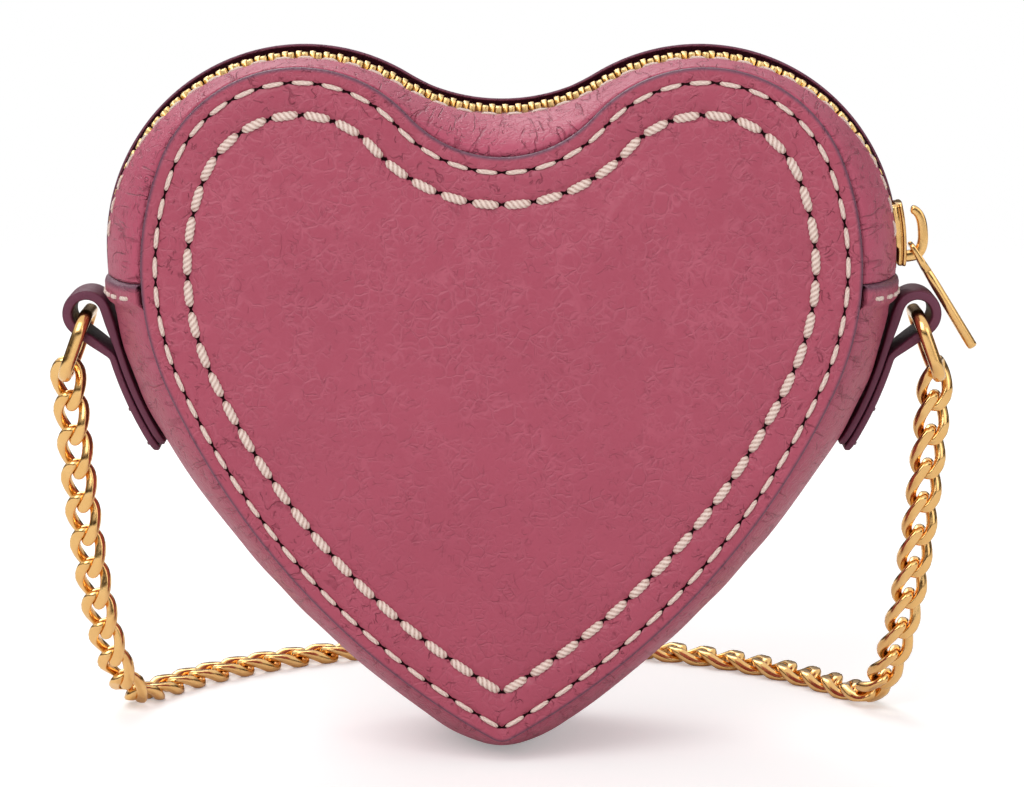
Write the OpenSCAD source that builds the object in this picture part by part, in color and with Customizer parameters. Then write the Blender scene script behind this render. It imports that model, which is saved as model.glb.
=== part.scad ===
// Heart shaped purse with a zip over the top and a chain strap.
// +X is the right of the front view, +Y goes to the back, +Z is up.
// The origin is the point where the heart's tip meets the floor, half way through the depth.

/* [Panel outline] */
// Drop from the zip line's notch to the panel's notch
notch_drop = 6.7; // [5.5:0.1:8]
// Radius of the panel's notch
panel_notch_r = 21.6; // [18:0.1:26]
// Turn of the notch, from its middle to one lobe
panel_notch_turn = 47.7; // [44:0.1:50]
// Radius of the panel's lobes
panel_lobe_r = 25.8; // [24:0.1:28]
// Turn of a lobe
panel_lobe_turn = 116.5; // [114:0.1:119]
// Radius of the panel's shoulders
panel_shoulder_r = 52; // [48:0.5:56]
// Turn of a shoulder
panel_shoulder_turn = 45.4; // [43:0.1:48]
// Turn of a straight looking side
panel_side_turn = 36.2; // [34:0.1:38]
// Radius of the panel's tip
panel_tip_r = 3.3; // [2.5:0.1:4.5]

/* [Zip line] */
// Radius of the zip line's notch
crest_notch_r = 35.2; // [32:0.1:38]
// Turn of the zip line's notch to one lobe
crest_notch_turn = 30.3; // [29:0.1:32]
// Radius of the zip line's lobes, which is also the slider's path
crest_lobe_r = 34.7; // [34:0.1:35.5]
// Radius of the gusset's shoulders
crest_shoulder_r = 64.5; // [61:0.5:68]
// Turn of the gusset's shoulders
crest_shoulder_turn = 31.8; // [30:0.1:34]
// Turn of the gusset's sides
crest_side_turn = 23.2; // [22:0.1:25]
// Radius of the gusset at the tip
crest_tip_r = 20; // [17:0.1:22]

/* [Leather] */
// Depth of the bag over both panels
body_depth = 46; // [42:0.5:52]
// Thickness of the two panels
panel_t = 1.5; // [1.2:0.1:1.8]
// Thickness of the gusset and of the zip strips
gusset_t = 1.1; // [0.9:0.05:1.3]
// Roundness of the gusset across its width, where less is squarer
dome_power = 0.75; // [0.6:0.01:1]
// Width of the gusset's turned edge behind a panel
flange_w = 6; // [4:0.5:8]
// Drop from the lobes' middles to the gusset's folded end
fold_drop = 3.84; // [3.64:0.02:4.24]
// Length of the folded end
fold_l = 3.2; // [2.8:0.1:3.4]
// Rise of the folded end over the zip strips
fold_rise = 1.2; // [0.9:0.05:1.3]
// Thickness of the stiffening boards
board_t = 1; // [0.6:0.1:1.1]
// Thickness of the lining cloth
lining_t = 0.4; // [0.3:0.05:0.6]

/* [Stitching] */
// Distance of the fine seam from the panel's edge
seam_inset = 2.6; // [2.2:0.1:3.2]
// Pitch of the fine seam
seam_pitch = 5.2; // [4.5:0.1:6]
// Width of the fine thread
seam_w = 0.8; // [0.6:0.05:1]
// Distance of the rope seam from the panel's edge
rope_inset = 8.2; // [7.5:0.1:9]
// Pitch of the rope seam
rope_pitch = 5.5; // [5:0.1:6]
// Width of the rope thread
rope_w = 1.7; // [1.4:0.05:1.9]
// Depth of the pressed stitch channels
channel_t = 0.7; // [0.5:0.05:0.8]
// Share of a stitch's pitch that the thread covers
stitch_share = 0.72; // [0.6:0.01:0.8]
// Distance of the zip strips' seam from their lips
strip_seam_inset = 1.8; // [1.4:0.1:2.4]
// Pitch of the zip strips' seam
strip_pitch = 4.3; // [3.8:0.1:5]
// Distance of the folded end's seam from its edge
fold_seam_inset = 2.4; // [1.6:0.1:2.5]

/* [Zip] */
// Distance of each strip's lip from the zip's middle
lip_y = 4.5; // [4.4:0.1:5]
// Thickness of a strip at its lip
lip_t = 0.6; // [0.5:0.05:0.9]
// Rise of the back strip's lip over the zip line
back_lip_rise = 2.2; // [1.6:0.1:2.5]
// Thickness of the zip's tape
tape_t = 0.4; // [0.3:0.05:0.5]
// Reach of the tape from the zip's middle
tape_reach = 9; // [8:0.5:11]
// Rise of the tape between the strips, which lifts the teeth over the lips
tape_lift = 0.5; // [0.3:0.05:0.6]
// Pitch of the teeth on one side
tooth_pitch = 2.4; // [2.2:0.05:2.8]
// Width of a tooth along the zip
tooth_w = 0.9; // [0.8:0.02:0.92]
// Height of a tooth
tooth_h = 2.8; // [2.4:0.1:3]
// Length of a tooth from the zip's middle
tooth_l = 2.9; // [2.6:0.1:3]
// Reach of a tooth's head over the zip's middle
tooth_head = 0.5; // [0.3:0.05:0.6]

/* [Slider] */
// Length of the slider
slider_l = 10.8; // [9.5:0.1:11.5]
// Half the width of the slider
slider_half_w = 3.9; // [3.7:0.05:4]
// Thickness of the slider's top plate
slider_top_t = 1.6; // [1.3:0.1:1.8]
// Thickness of the slider's bottom plate
slider_bottom_t = 1.2; // [1:0.1:1.5]
// Rise of the slider's middle over the lobe's middle
slider_rise = 2.66; // [2.56:0.02:3.56]
// Height of the bridge over the top plate
bridge_h = 3.9; // [3.6:0.1:4.3]
// Width of the bridge along the slider
bridge_l = 9.8; // [9.4:0.1:10.2]
// Thickness of the bridge's bow
bridge_t = 1.3; // [1.1:0.05:1.5]
// Width of the bridge across the zip
bridge_w = 2; // [1.6:0.1:2.2]
// Length of the pull from its pin to its end
pull_l = 21.2; // [18:0.1:24]
// Thickness of the pull
pull_t = 1.6; // [1.4:0.05:1.65]
// Width of the pull
pull_w = 5; // [4.6:0.1:6]
// Gap between the resting pull and the tab loop beside it
pull_rest_gap = 0.3; // [0.26:0.02:0.8]

/* [Tab loops and rings] */
// Width of the leather tabs across the gusset
tab_w = 11; // [9:0.5:12]
// Thickness of the tab leather
tab_t = 1.4; // [1.2:0.05:1.5]
// Outer radius of a tab's loop
loop_r = 4.4; // [4.2:0.05:4.5]
// Radius of the hole in a tab's loop
loop_hole_r = 2.7; // [2.5:0.05:2.8]
// Drop from the lobes' middles to the loop's middle
loop_drop = 11.24; // [11.14:0.02:11.64]
// Drop from the lobes' middles to the tab's lower end
tab_end_drop = 36.44; // [31.04:0.1:39.04]
// Thickness of the end rings' wire
ring_wire_d = 2.2; // [2:0.05:2.3]
// Width of an end ring between wire middles
ring_w = 14.2; // [14:0.1:16]
// Height of an end ring between wire middles
ring_h = 11.6; // [11:0.1:12.5]
// Radius of an end ring's corners
ring_corner_r = 3.4; // [3:0.1:4]
// Lean of the hanging rings away from the bag
ring_lean = 20; // [18:0.5:22]

/* [Chain] */
// Pitch of the chain's links
link_pitch = 6.4; // [6.3:0.05:6.8]
// Width of a link between wire middles
link_w = 5; // [4.9:0.05:5.2]
// Thickness of the links' wire
link_wire_d = 1.8; // [1.7:0.02:1.84]
// Play between two links
link_play = 0.3; // [0.28:0.01:0.36]
// Place across the floor where a side of the chain lands
land_x = 67; // [62:0.5:72]
// Place behind the bag's middle where a side of the chain lands
land_y = 26; // [22:0.5:34]
// Place behind the bag's middle where the chain turns back
loop_back_y = 68; // [62:0.5:76]

/* [Hidden] */

// Colours, as the photograph shows them
berry = "#a84c62";
berry_light = "#b5607c";
burgundy = "#5a2c3e";
cream = "#e8d5c8";
gold = "#e8b46a";
cloth = "#6d3a4a";
board_grey = "#b9b2a8";

// Clearances and small sizes
fit_gap = 0.05;
outline_sag = 0.02;
heading_slack = 0.001;
channel_gap = 0.15;
tape_under = 0.15;
tape_gap = 0.25;
slider_gap = 0.15;
rim_gap = 0.3;
pull_gap = 0.35;
slot_gap = 0.3;
butt_gap = 0.1;
overrun = 1;
notch_gap = 0.2;
board_gap = 0.3;
lining_gap = 0.1;
lining_inset = 2;
bridge_corner_r = 3.4;
bridge_end_gap = 0.5;
slit_t = 0.15;
tab_gap = 0.15;
loop_gap = 0.6;
tab_neck_l = 8;
tab_stitch_l = 2.2;
tab_stitch_rows = [2, 9];
ring_drop = 0.4;
stop_l = 2.4;
thread_rise = 0.15;
thread_t = 0.5;
rope_rise = 0.35;
fold_seam_margin = 2;
floor_gap = 0.05;
lift_fade_l = 1;
tape_edge_y = 1.3;
slider_rim_w = 0.6;
pin_r = 0.75;
slot_l = 5.4;
wire_step = 0.02;
wire_lap = 0.2;

// Counts and shares
dome_rows = 6;
strip_rows = 6;
lining_rows = 3;
side_steps = 6;
fold_stitches = 8;
lip_power = 6;
strip_row_power = 1.5;
tab_stitch_pitch_share = 0.29;
first_tooth_share = 0.25;
roll_links = 5;
separate_links = 3;

$fn = 48;

half_depth = body_depth / 2;
edge_y = half_depth - panel_t;

// The outlines are chains of tangent arcs, listed as radius and turn from the notch's middle to the tip.
function heading_normal(h) = [-sin(h), cos(h)];

// One arc is its centre, radius, side of the turn, and the headings at its ends.
function arc_chain(turns, start, head, i = 0) =
  i == len(turns) ? [] :
  let (
    r = turns[i][0],
    side = sign(turns[i][1]),
    head_end = head + turns[i][1],
    centre = start + side * r * heading_normal(head)
  )
  concat([[centre, r, side, head, head_end]],
         arc_chain(turns, centre - side * r * heading_normal(head_end), head_end, i + 1));

function arc_point(arc, h, out) = arc[0] + (out - arc[2] * arc[1]) * heading_normal(h);

function chain_end(turns) =
  let (arcs = arc_chain(turns, [0, 0], 0), last = arcs[len(arcs) - 1]) arc_point(last, last[4], 0);

function with_side(turns, r) = [for (i = [0:len(turns) - 1]) i == 3 ? [r, turns[i][1]] : turns[i]];

// The side's radius is the one that brings the chain back to the middle at the tip.
function closed_turns(turns) =
  let (
    flat_x = chain_end(with_side(turns, 0))[0],
    unit_x = chain_end(with_side(turns, 1))[0]
  )
  with_side(turns, flat_x / (flat_x - unit_x));

crest_tip_turn = 90 - crest_shoulder_turn - crest_side_turn;
crest_turns = closed_turns([
  [crest_notch_r, crest_notch_turn],
  [crest_lobe_r, -crest_notch_turn - 90],
  [crest_shoulder_r, -crest_shoulder_turn],
  [0, -crest_side_turn],
  [crest_tip_r, -crest_tip_turn]
]);
crest_notch_z = -chain_end(crest_turns)[1];
crest_arcs = arc_chain(crest_turns, [0, crest_notch_z], 0);

panel_tip_turn = 180 + panel_notch_turn - panel_lobe_turn - panel_shoulder_turn - panel_side_turn;
panel_turns = closed_turns([
  [panel_notch_r, panel_notch_turn],
  [panel_lobe_r, -panel_lobe_turn],
  [panel_shoulder_r, -panel_shoulder_turn],
  [0, -panel_side_turn],
  [panel_tip_r, -panel_tip_turn]
]);
panel_arcs = arc_chain(panel_turns, [0, crest_notch_z - notch_drop], 0);

lobe_centre = crest_arcs[1][0];
fold_z = lobe_centre[1] - fold_drop;
crest_shoulder = crest_arcs[2];
shoulder = panel_arcs[2];

function steps_of(arc) = max(2, ceil(abs(arc[4] - arc[3]) / (2 * acos(1 - outline_sag / arc[1]))));

// Half of the panel's outline, drawn in by inset. Past the tip's radius it ends in a corner.
function half_outline(inset) =
  let (side = panel_arcs[3], tip = panel_arcs[4])
  concat(
    [for (k = [0:3], i = [(k == 0 ? 0 : 1):steps_of(panel_arcs[k])])
      let (a = panel_arcs[k], p = arc_point(a, a[3] + (a[4] - a[3]) * i / steps_of(a), -inset))
      if (p[0] > notch_gap || k == 0) p],
    inset < tip[1] - notch_gap ?
      [for (i = [1:side_steps]) arc_point(tip, tip[3] + (tip[4] - tip[3]) * i / side_steps, -inset)] :
      [[0, side[0][1] - sqrt(pow(side[1] - inset, 2) - pow(side[0][0], 2))]]
  );

function heart_points(inset) =
  let (half = half_outline(inset), n = len(half))
  concat(half, [for (i = [n - 2:-1:1]) [-half[i][0], half[i][1]]]);

module heart_slab(inset, y_low, thickness) {
  translate([0, y_low + thickness, 0])
    rotate([90, 0, 0])
      linear_extrude(thickness)
        polygon(heart_points(inset));
}

module heart_ring(inset, width, y_low, thickness) {
  translate([0, y_low + thickness, 0])
    rotate([90, 0, 0])
      linear_extrude(thickness)
        difference() {
          polygon(heart_points(inset));
          polygon(heart_points(inset + width));
        }
}

// Way from a point along a direction to the chain of arcs.
function hits_arc(arc, p, n) =
  let (
    d = p - arc[0],
    b = d * n,
    q = b * b - d * d + arc[1] * arc[1],
    way = q < 0 ? -1 : -b - arc[2] * sqrt(q),
    x = d + way * n,
    h = atan2(-arc[2] * x[1], -arc[2] * x[0]) - 90,
    head = h < -180 - heading_slack ? h + 360 : h
  )
  [way, q >= 0 &&
        head <= max(arc[3], arc[4]) + heading_slack &&
        head >= min(arc[3], arc[4]) - heading_slack];

function nearest_way(p, n, arcs) =
  let (
    found = [for (a = arcs) let (hit = hits_arc(a, p, n)) if (hit[1]) hit[0]],
    least = min([for (way = found) abs(way)])
  )
  len(found) > 0 ? [for (way = found) if (abs(way) == least) way][0] : hits_arc(arcs[2], p, n)[0];

// A station is a point of the panel's edge, its outward normal, the gusset's swell there,
// the lift of the folded end, and the width of the turned edge.
function flange_at(p, n) =
  n[1] > 0 ? flange_w :
  p[0] < notch_gap ? panel_tip_r - notch_gap :
  min(flange_w, (p[0] - notch_gap) / n[0]);

function station(arc, h, lift) =
  let (p = arc_point(arc, h, 0), n = heading_normal(h))
  [p, n, nearest_way(p, n, crest_arcs), lift, flange_at(p, n)];

function mirrored(s) = [[-s[0][0], s[0][1]], [-s[1][0], s[1][1]], s[2], s[3], s[4]];

function both_sides(half) =
  let (n = len(half)) concat([for (i = [n - 1:-1:1]) mirrored(half[i])], half);

function arc_stations(arc, from, to, count, lift) =
  [for (i = [1:count]) station(arc, from + (to - from) * i / count, lift)];

// Headings on the panel's shoulder at a height of the zip line
function shoulder_heading(z) = -90 - asin((shoulder[0][1] - z) / shoulder[1]);

fold_heading = shoulder_heading(fold_z);
fold_end_heading = shoulder_heading(fold_z - fold_l);
fade_heading = shoulder_heading(fold_z - fold_l - lift_fade_l);

function top_stations_to(heading) =
  both_sides(concat(
    [station(panel_arcs[0], 0, 0)],
    arc_stations(panel_arcs[0], 0, panel_notch_turn, 8, 0),
    arc_stations(panel_arcs[1], panel_arcs[1][3], panel_arcs[1][4], 20, 0),
    arc_stations(shoulder, shoulder[3], heading, 6, 0)
  ));

// The strips butt against the folded ends, and the top lining runs on under them.
strip_stations = top_stations_to(shoulder_heading(fold_z + butt_gap));
lining_stations = top_stations_to(fold_end_heading);

bottom_half = concat(
  [station(shoulder, fold_heading, fold_rise)],
  arc_stations(shoulder, fold_heading, fold_end_heading, 2, fold_rise),
  arc_stations(shoulder, fold_end_heading, fade_heading, 1, 0),
  arc_stations(shoulder, fade_heading, shoulder[4], 3, 0),
  arc_stations(panel_arcs[3], panel_arcs[3][3], panel_arcs[3][4], 8, 0),
  arc_stations(panel_arcs[4], panel_arcs[4][3], panel_arcs[4][4], 4, 0)
);
bottom_stations =
  let (n = len(bottom_half))
  concat(bottom_half, [for (i = [n - 2:-1:0]) mirrored(bottom_half[i])]);

// Share of the swell that the dome reaches at a place across the gusset
function dome(y) = pow(max(0, 1 - pow(y / edge_y, 2)), dome_power);

// A row's place is its y, its share of the swell, its offset, and its shares of the turned edge
// and of the lift.
function place(s, row) =
  let (q = s[0] + s[1] * (s[2] * row[1] + row[2] - s[4] * row[3] + s[3] * row[4])) [q[0], row[0], q[1]];

// A sheet carried along the stations, between its outer rows and its inner rows.
module sheet(stations, outer, inner) {
  m = len(outer);
  last = len(stations) - 1;
  points = [for (s = stations) each [for (row = concat(outer, inner)) place(s, row)]];
  faces = [for (f = concat(
    [for (s = [0:last - 1], i = [0:m - 2])
      let (a = s * 2 * m + i, b = a + 2 * m) [a, a + 1, b + 1, b]],
    [for (s = [0:last - 1], i = [0:m - 2])
      let (a = s * 2 * m + m + i, b = a + 2 * m) [a, b, b + 1, a + 1]],
    [for (s = [0:last - 1]) let (a = s * 2 * m, b = a + 2 * m) [a, b, b + m, a + m]],
    [for (s = [0:last - 1]) let (a = s * 2 * m + m - 1, b = a + 2 * m) [a, a + m, b + m, b]],
    [for (i = [0:m - 2]) [i, i + m, i + m + 1, i + 1]],
    [for (i = [0:m - 2]) let (a = last * 2 * m + i) [a, a + 1, a + m + 1, a + m]]
  )) each [[f[0], f[1], f[2]], [f[0], f[2], f[3]]]];
  polyhedron(points, faces);
}

// The dome's places across the gusset lie closer together near its edges.
dome_ys = [for (i = [-dome_rows:dome_rows]) edge_y * sin(90 * i / dome_rows)];
gusset_outer = concat(
  [[-edge_y, 0, 0, 1, 0]],
  [for (y = dome_ys) [y, dome(y), 0, 0, 1]],
  [[edge_y, 0, 0, 1, 0]]
);
inside_y = edge_y - gusset_t;
function kept_in(y, limit) = max(-limit, min(limit, y));
gusset_inner = concat(
  [[-inside_y, 0, 0, 1, 0]],
  [for (y = dome_ys) [kept_in(y, inside_y), dome(y), -gusset_t, 0, 0]],
  [[inside_y, 0, 0, 1, 0]]
);

// Rows of a zip strip, from the turned edge to the lip. The side is -1 at the front and 1 at the back.
function strip_y(i) = edge_y + (lip_y - edge_y) * pow(i / strip_rows, strip_row_power);
function lip_share(y) = pow(max(0, 1 - (y - lip_y) / (edge_y - lip_y)), lip_power);
function strip_outer(rise) = concat(
  [[edge_y, 0, 0, 1, 0]],
  [for (i = [0:strip_rows])
    let (y = strip_y(i)) [y, dome(y), (lip_t - gusset_t + rise) * lip_share(y), 0, 0]]
);
function strip_inner(rise) = concat(
  [[inside_y, 0, 0, 1, 0]],
  [for (i = [0:strip_rows])
    let (y = strip_y(i)) [min(y, inside_y), dome(y), -gusset_t + rise * lip_share(y), 0, 0]]
);
function at_side(rows, side) =
  side > 0 ? [for (i = [len(rows) - 1:-1:0]) rows[i]] :
  [for (row = rows) [-row[0], row[1], row[2], row[3], row[4]]];

module zip_strip(side, rise) {
  sheet(strip_stations, at_side(strip_outer(rise), side), at_side(strip_inner(rise), side));
}

tape_top = gusset_t + tape_under;
tooth_middle = tape_top + tape_t / 2 - tape_lift;
function tape_rows(depth) =
  [for (y = [tape_reach, lip_y, tooth_l + tape_gap, tape_edge_y])
    [y, dome(y), (y < lip_y ? tape_lift : 0) - depth, 0, 0]];

module zip_tape(side) {
  sheet(strip_stations, at_side(tape_rows(tape_top), side), at_side(tape_rows(tape_top + tape_t), side));
}

// A place on the zip line, by its way from the notch's middle
notch_l = crest_notch_r * crest_notch_turn * PI / 180;
lobe_l = crest_lobe_r * (crest_notch_turn + 90) * PI / 180;
function crest_heading(way) =
  way <= notch_l ? way / crest_notch_r * 180 / PI :
  way <= notch_l + lobe_l ? crest_notch_turn - (way - notch_l) / crest_lobe_r * 180 / PI :
  -90 - (way - notch_l - lobe_l) / crest_shoulder_r * 180 / PI;
function crest_arc(way) = crest_arcs[way <= notch_l ? 0 : way <= notch_l + lobe_l ? 1 : 2];

module on_crest(way) {
  h = crest_heading(abs(way));
  p = arc_point(crest_arc(abs(way)), h, 0);
  mirror([way < 0 ? 1 : 0, 0, 0])
    translate([p[0], 0, p[1]])
      rotate([0, -h, 0])
        children();
}

zip_half_l = notch_l + lobe_l;
tooth_count = 2 * floor(zip_half_l / tooth_pitch);

module block(x_low, x_high, y_low, y_high, z_low, z_high) {
  translate([x_low, y_low, z_low])
    cube([x_high - x_low, y_high - y_low, z_high - z_low]);
}

// A tooth clamps the tape's edge between two jaws. It reaches from side * tooth_l over the middle.
module tooth(side) {
  slot = tape_t / 2 + tape_gap;
  neck = tape_edge_y - tape_gap;
  mirror([0, side > 0 ? 1 : 0, 0])
    translate([-tooth_w / 2, 0, -tooth_middle]) {
      block(0, tooth_w, -neck, tooth_head, -tooth_h / 2, tooth_h / 2);
      block(0, tooth_w, -tooth_l, -neck, slot, tooth_h / 2);
      block(0, tooth_w, -tooth_l, -neck, -tooth_h / 2, -slot);
    }
}

module tooth_row(side) {
  for (i = [0:tooth_count - 1])
    on_crest((i + (side > 0 ? first_tooth_share : 1 - first_tooth_share) - tooth_count / 2) * tooth_pitch)
      tooth(side);
}

// A rounded stitch lying on a surface, its length along X
module stitch(length, width, height) {
  linear_extrude(height) {
    square([length - width, width], center = true);
    for (side = [-1, 1])
      translate([side * (length - width) / 2, 0])
        circle(d = width);
  }
}

// Lengths of the arcs of the panel's outline, drawn in by inset, and a place along them
function arc_length(arc, inset) = abs(arc[4] - arc[3]) * PI / 180 * (arc[1] + arc[2] * inset);
function corner_heading(inset) = -180 + asin(-panel_arcs[3][0][0] / (panel_arcs[3][1] - inset));
function seam_length(inset, k) =
  k < 3 ? arc_length(panel_arcs[k], inset) :
  (panel_arcs[3][3] - corner_heading(inset)) * PI / 180 * (panel_arcs[3][1] - inset);
function seam_total(inset, k = 3) = seam_length(inset, k) + (k > 0 ? seam_total(inset, k - 1) : 0);
function seam_place(inset, way, k = 0) =
  way > seam_length(inset, k) && k < 3 ? seam_place(inset, way - seam_length(inset, k), k + 1) :
  let (
    a = panel_arcs[k],
    h = a[3] + sign(a[4] - a[3]) * way / (a[1] + a[2] * inset) * 180 / PI
  )
  [arc_point(a, h, -inset), h];

// A row of stitches on both halves, on a face at y. The side is -1 at the front and 1 at the back.
module seam(inset, pitch, width, height, y, side) {
  total = seam_total(inset);
  count = round(total / pitch);
  for (i = [0:count - 1], half = [0, 1]) {
    at = seam_place(inset, (i + 0.5) * total / count);
    mirror([half, 0, 0])
      translate([at[0][0], y, at[0][1]])
        rotate([0, -at[1], 0])
          rotate([side < 0 ? 90 : -90, 0, 0])
            stitch(total / count * stitch_share, width, height);
  }
}

module panel(side) {
  low = side < 0 ? -half_depth : half_depth - panel_t;
  channel_low = side < 0 ? -half_depth - overrun : half_depth - channel_t;
  difference() {
    heart_slab(0, low, panel_t);
    for (channel = [[seam_inset, seam_w], [rope_inset, rope_w]])
      heart_ring(channel[0] - channel[1] / 2 - channel_gap, channel[1] + 2 * channel_gap,
                 channel_low, channel_t + overrun);
  }
}

module front_panel() {
  color(berry) panel(-1);
}

module back_panel() {
  color(berry) panel(1);
}

module bottom_gusset() {
  color(berry_light) sheet(bottom_stations, gusset_outer, gusset_inner);
}

module zip_strip_front() {
  color(berry_light) zip_strip(-1, 0);
}

module zip_strip_back() {
  color(berry_light) zip_strip(1, back_lip_rise);
}

module zip_tape_front() {
  color(burgundy) zip_tape(-1);
}

module zip_tape_back() {
  color(burgundy) zip_tape(1);
}

module zip_teeth_front() {
  color(gold) tooth_row(-1);
}

module zip_teeth_back() {
  color(gold) tooth_row(1);
}

// Two stops lie past the last teeth at the closed end and one wide stop at the other end.
module zip_end_stops() {
  way = zip_half_l + stop_l;
  low = fit_gap + tape_lift - tape_top;
  high = tape_lift - slider_gap;
  color(gold) {
    for (side = [-1, 1])
      on_crest(way)
        mirror([0, side > 0 ? 1 : 0, 0])
          block(-stop_l / 2, stop_l / 2, -tooth_l, -fit_gap, low, high);
    on_crest(-way)
      block(-stop_l / 2, stop_l / 2, -tooth_l, tooth_l, low, high);
  }
}

// The slider is drawn round the lobe's centre, as far round as its middle's height.
slider_angle = asin(slider_rise / crest_lobe_r);
slider_turn = slider_l / crest_lobe_r * 180 / PI;

module arc_plate(r_low, r_high, y_low, y_high, from, turn) {
  translate([lobe_centre[0], 0, lobe_centre[1]])
    rotate([90, 0, 0])
      rotate([0, 0, from])
        translate([0, 0, -y_high])
          rotate_extrude(angle = turn, $fn = 180)
            translate([r_low, 0])
              square([r_high - r_low, y_high - y_low]);
}

slider_inner_r = crest_lobe_r - tooth_middle + tooth_h / 2 + slider_gap;
slider_outer_r = slider_inner_r + slider_top_t;
slider_from = slider_angle - slider_turn / 2;

module slider_top_plate() {
  rim_low = crest_lobe_r - tape_top + tape_lift + rim_gap;
  color(gold) {
    arc_plate(slider_inner_r, slider_outer_r, -slider_half_w, slider_half_w, slider_from, slider_turn);
    for (side = [-1, 1])
      arc_plate(rim_low, slider_inner_r + fit_gap,
                side < 0 ? -slider_half_w : slider_half_w - slider_rim_w,
                side < 0 ? slider_rim_w - slider_half_w : slider_half_w,
                slider_from, slider_turn);
  }
}

module slider_bottom_plate() {
  r_high = crest_lobe_r - tooth_middle - tooth_h / 2 - slider_gap;
  rim_high = crest_lobe_r - tape_top - tape_t - rim_gap - slider_gap;
  color(gold) {
    arc_plate(r_high - slider_bottom_t, r_high, -slider_half_w, slider_half_w, slider_from, slider_turn);
    for (side = [-1, 1])
      arc_plate(r_high - fit_gap, rim_high,
                side < 0 ? -slider_half_w : slider_half_w - slider_rim_w,
                side < 0 ? slider_rim_w - slider_half_w : slider_half_w,
                slider_from, slider_turn);
  }
}

// The bridge's own frame: X leaves the bag, Z runs up along the slider, the origin on the top plate.
module on_slider() {
  translate([lobe_centre[0], 0, lobe_centre[1]])
    rotate([0, -slider_angle, 0])
      translate([slider_outer_r, 0, 0])
        children();
}

module rounded_box(x_high, z_half, r) {
  translate([-x_high, -z_half + r])
    square([2 * x_high, 2 * (z_half - r)]);
  translate([-x_high, -z_half])
    square([2 * x_high - r, 2 * z_half]);
  for (side = [-1, 1])
    translate([x_high - r, side * (z_half - r)])
      circle(r);
}

// The bridge is a bow over the top plate, open at its upper end.
module slider_bridge() {
  color(gold)
    on_slider()
      translate([0, bridge_w / 2, 0])
        rotate([90, 0, 0])
          linear_extrude(bridge_w)
            difference() {
              rounded_box(bridge_h, bridge_l / 2, bridge_corner_r);
              rounded_box(bridge_h - bridge_t, bridge_l / 2 - bridge_t, bridge_corner_r - bridge_t);
              translate([-slider_outer_r, 0])
                circle(slider_outer_r + fit_gap, $fn = 360);
              translate([-bridge_h, bridge_l / 2 - bridge_t - overrun])
                square([bridge_h + bridge_end_gap, bridge_t + 2 * overrun]);
            }
}

pin_x = pin_r + pull_gap;
pin_z = -bridge_l / 2 + bridge_t + pin_r + pull_gap;
slot_w = bridge_w + 2 * slot_gap;

// The pull hangs by a round pin that lies under the bridge, between two arms.
module pull_tab() {
  hang = pull_lean - slider_angle;
  color(gold)
    on_slider()
      translate([pin_x, 0, pin_z])
        rotate([0, -hang, 0]) {
          rotate([90, 0, 0])
            translate([0, 0, -pull_w / 2])
              cylinder(h = pull_w, r = pin_r);
          for (side = [-1, 1])
            block(-pin_r, pin_r,
                  side < 0 ? -pull_w / 2 : slot_w / 2, side < 0 ? -slot_w / 2 : pull_w / 2,
                  -slot_l, 0);
          block(-pull_t / 2, pull_t / 2, -pull_w / 2, pull_w / 2, -pull_l, -slot_l);
        }
}

// A tab is one strap, folded round the end ring, its two layers lying on the gusset.
tab_inner_r = crest_shoulder_r + tab_gap;
tab_outer_r = tab_inner_r + 2 * tab_t;
shoulder_centre = crest_shoulder[0];
loop_reach = crest_shoulder_r + loop_gap + loop_r;
loop_angle = -asin(loop_drop / loop_reach);
tab_end_angle = -asin(tab_end_drop / tab_outer_r);
neck_angle = loop_angle - tab_neck_l / crest_shoulder_r * 180 / PI;
slit_start = loop_hole_r / 2 / loop_reach * 180 / PI;

function polar(r, a) = [r * cos(a), r * sin(a)];

module sector(r_low, r_high, from, to) {
  far = 2 * r_high;
  intersection() {
    difference() {
      circle(r_high, $fn = 360);
      circle(r_low, $fn = 360);
    }
    polygon([[0, 0], polar(far, from), polar(far, to)]);
  }
}

module tab_outline() {
  difference() {
    union() {
      hull() {
        translate(polar(loop_reach, loop_angle))
          circle(loop_r, $fn = 64);
        translate(polar(tab_inner_r + tab_t, neck_angle))
          circle(tab_t, $fn = 32);
      }
      sector(tab_inner_r, tab_outer_r, tab_end_angle, neck_angle);
    }
    circle(tab_inner_r, $fn = 360);
    sector(tab_inner_r + tab_t - slit_t / 2, tab_inner_r + tab_t + slit_t / 2,
           tab_end_angle - overrun, loop_angle - slit_start);
  }
}

module tab_loop() {
  difference() {
    translate([shoulder_centre[0], tab_w / 2, shoulder_centre[1]])
      rotate([90, 0, 0])
        linear_extrude(tab_w)
          tab_outline();
    translate([loop_place[0], 0, loop_place[1]])
      rotate([90, 0, 0])
        cylinder(h = tab_w + 2 * overrun, r = loop_hole_r, center = true);
  }
}

loop_place = shoulder_centre + polar(loop_reach, loop_angle);

// The hanging pull leans on the loop beside it.
pull_pin = lobe_centre + polar(slider_outer_r + pin_x, slider_angle) + polar(pin_z, slider_angle + 90);
loop_way = loop_place - pull_pin;
pull_lean = atan2(loop_way[0], -loop_way[1]) +
            asin((loop_r + pull_rest_gap + pull_t / 2) / norm(loop_way));

module left_tab_loop() {
  color(burgundy) mirror([1, 0, 0]) tab_loop();
}

module right_tab_loop() {
  color(burgundy) tab_loop();
}

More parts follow.
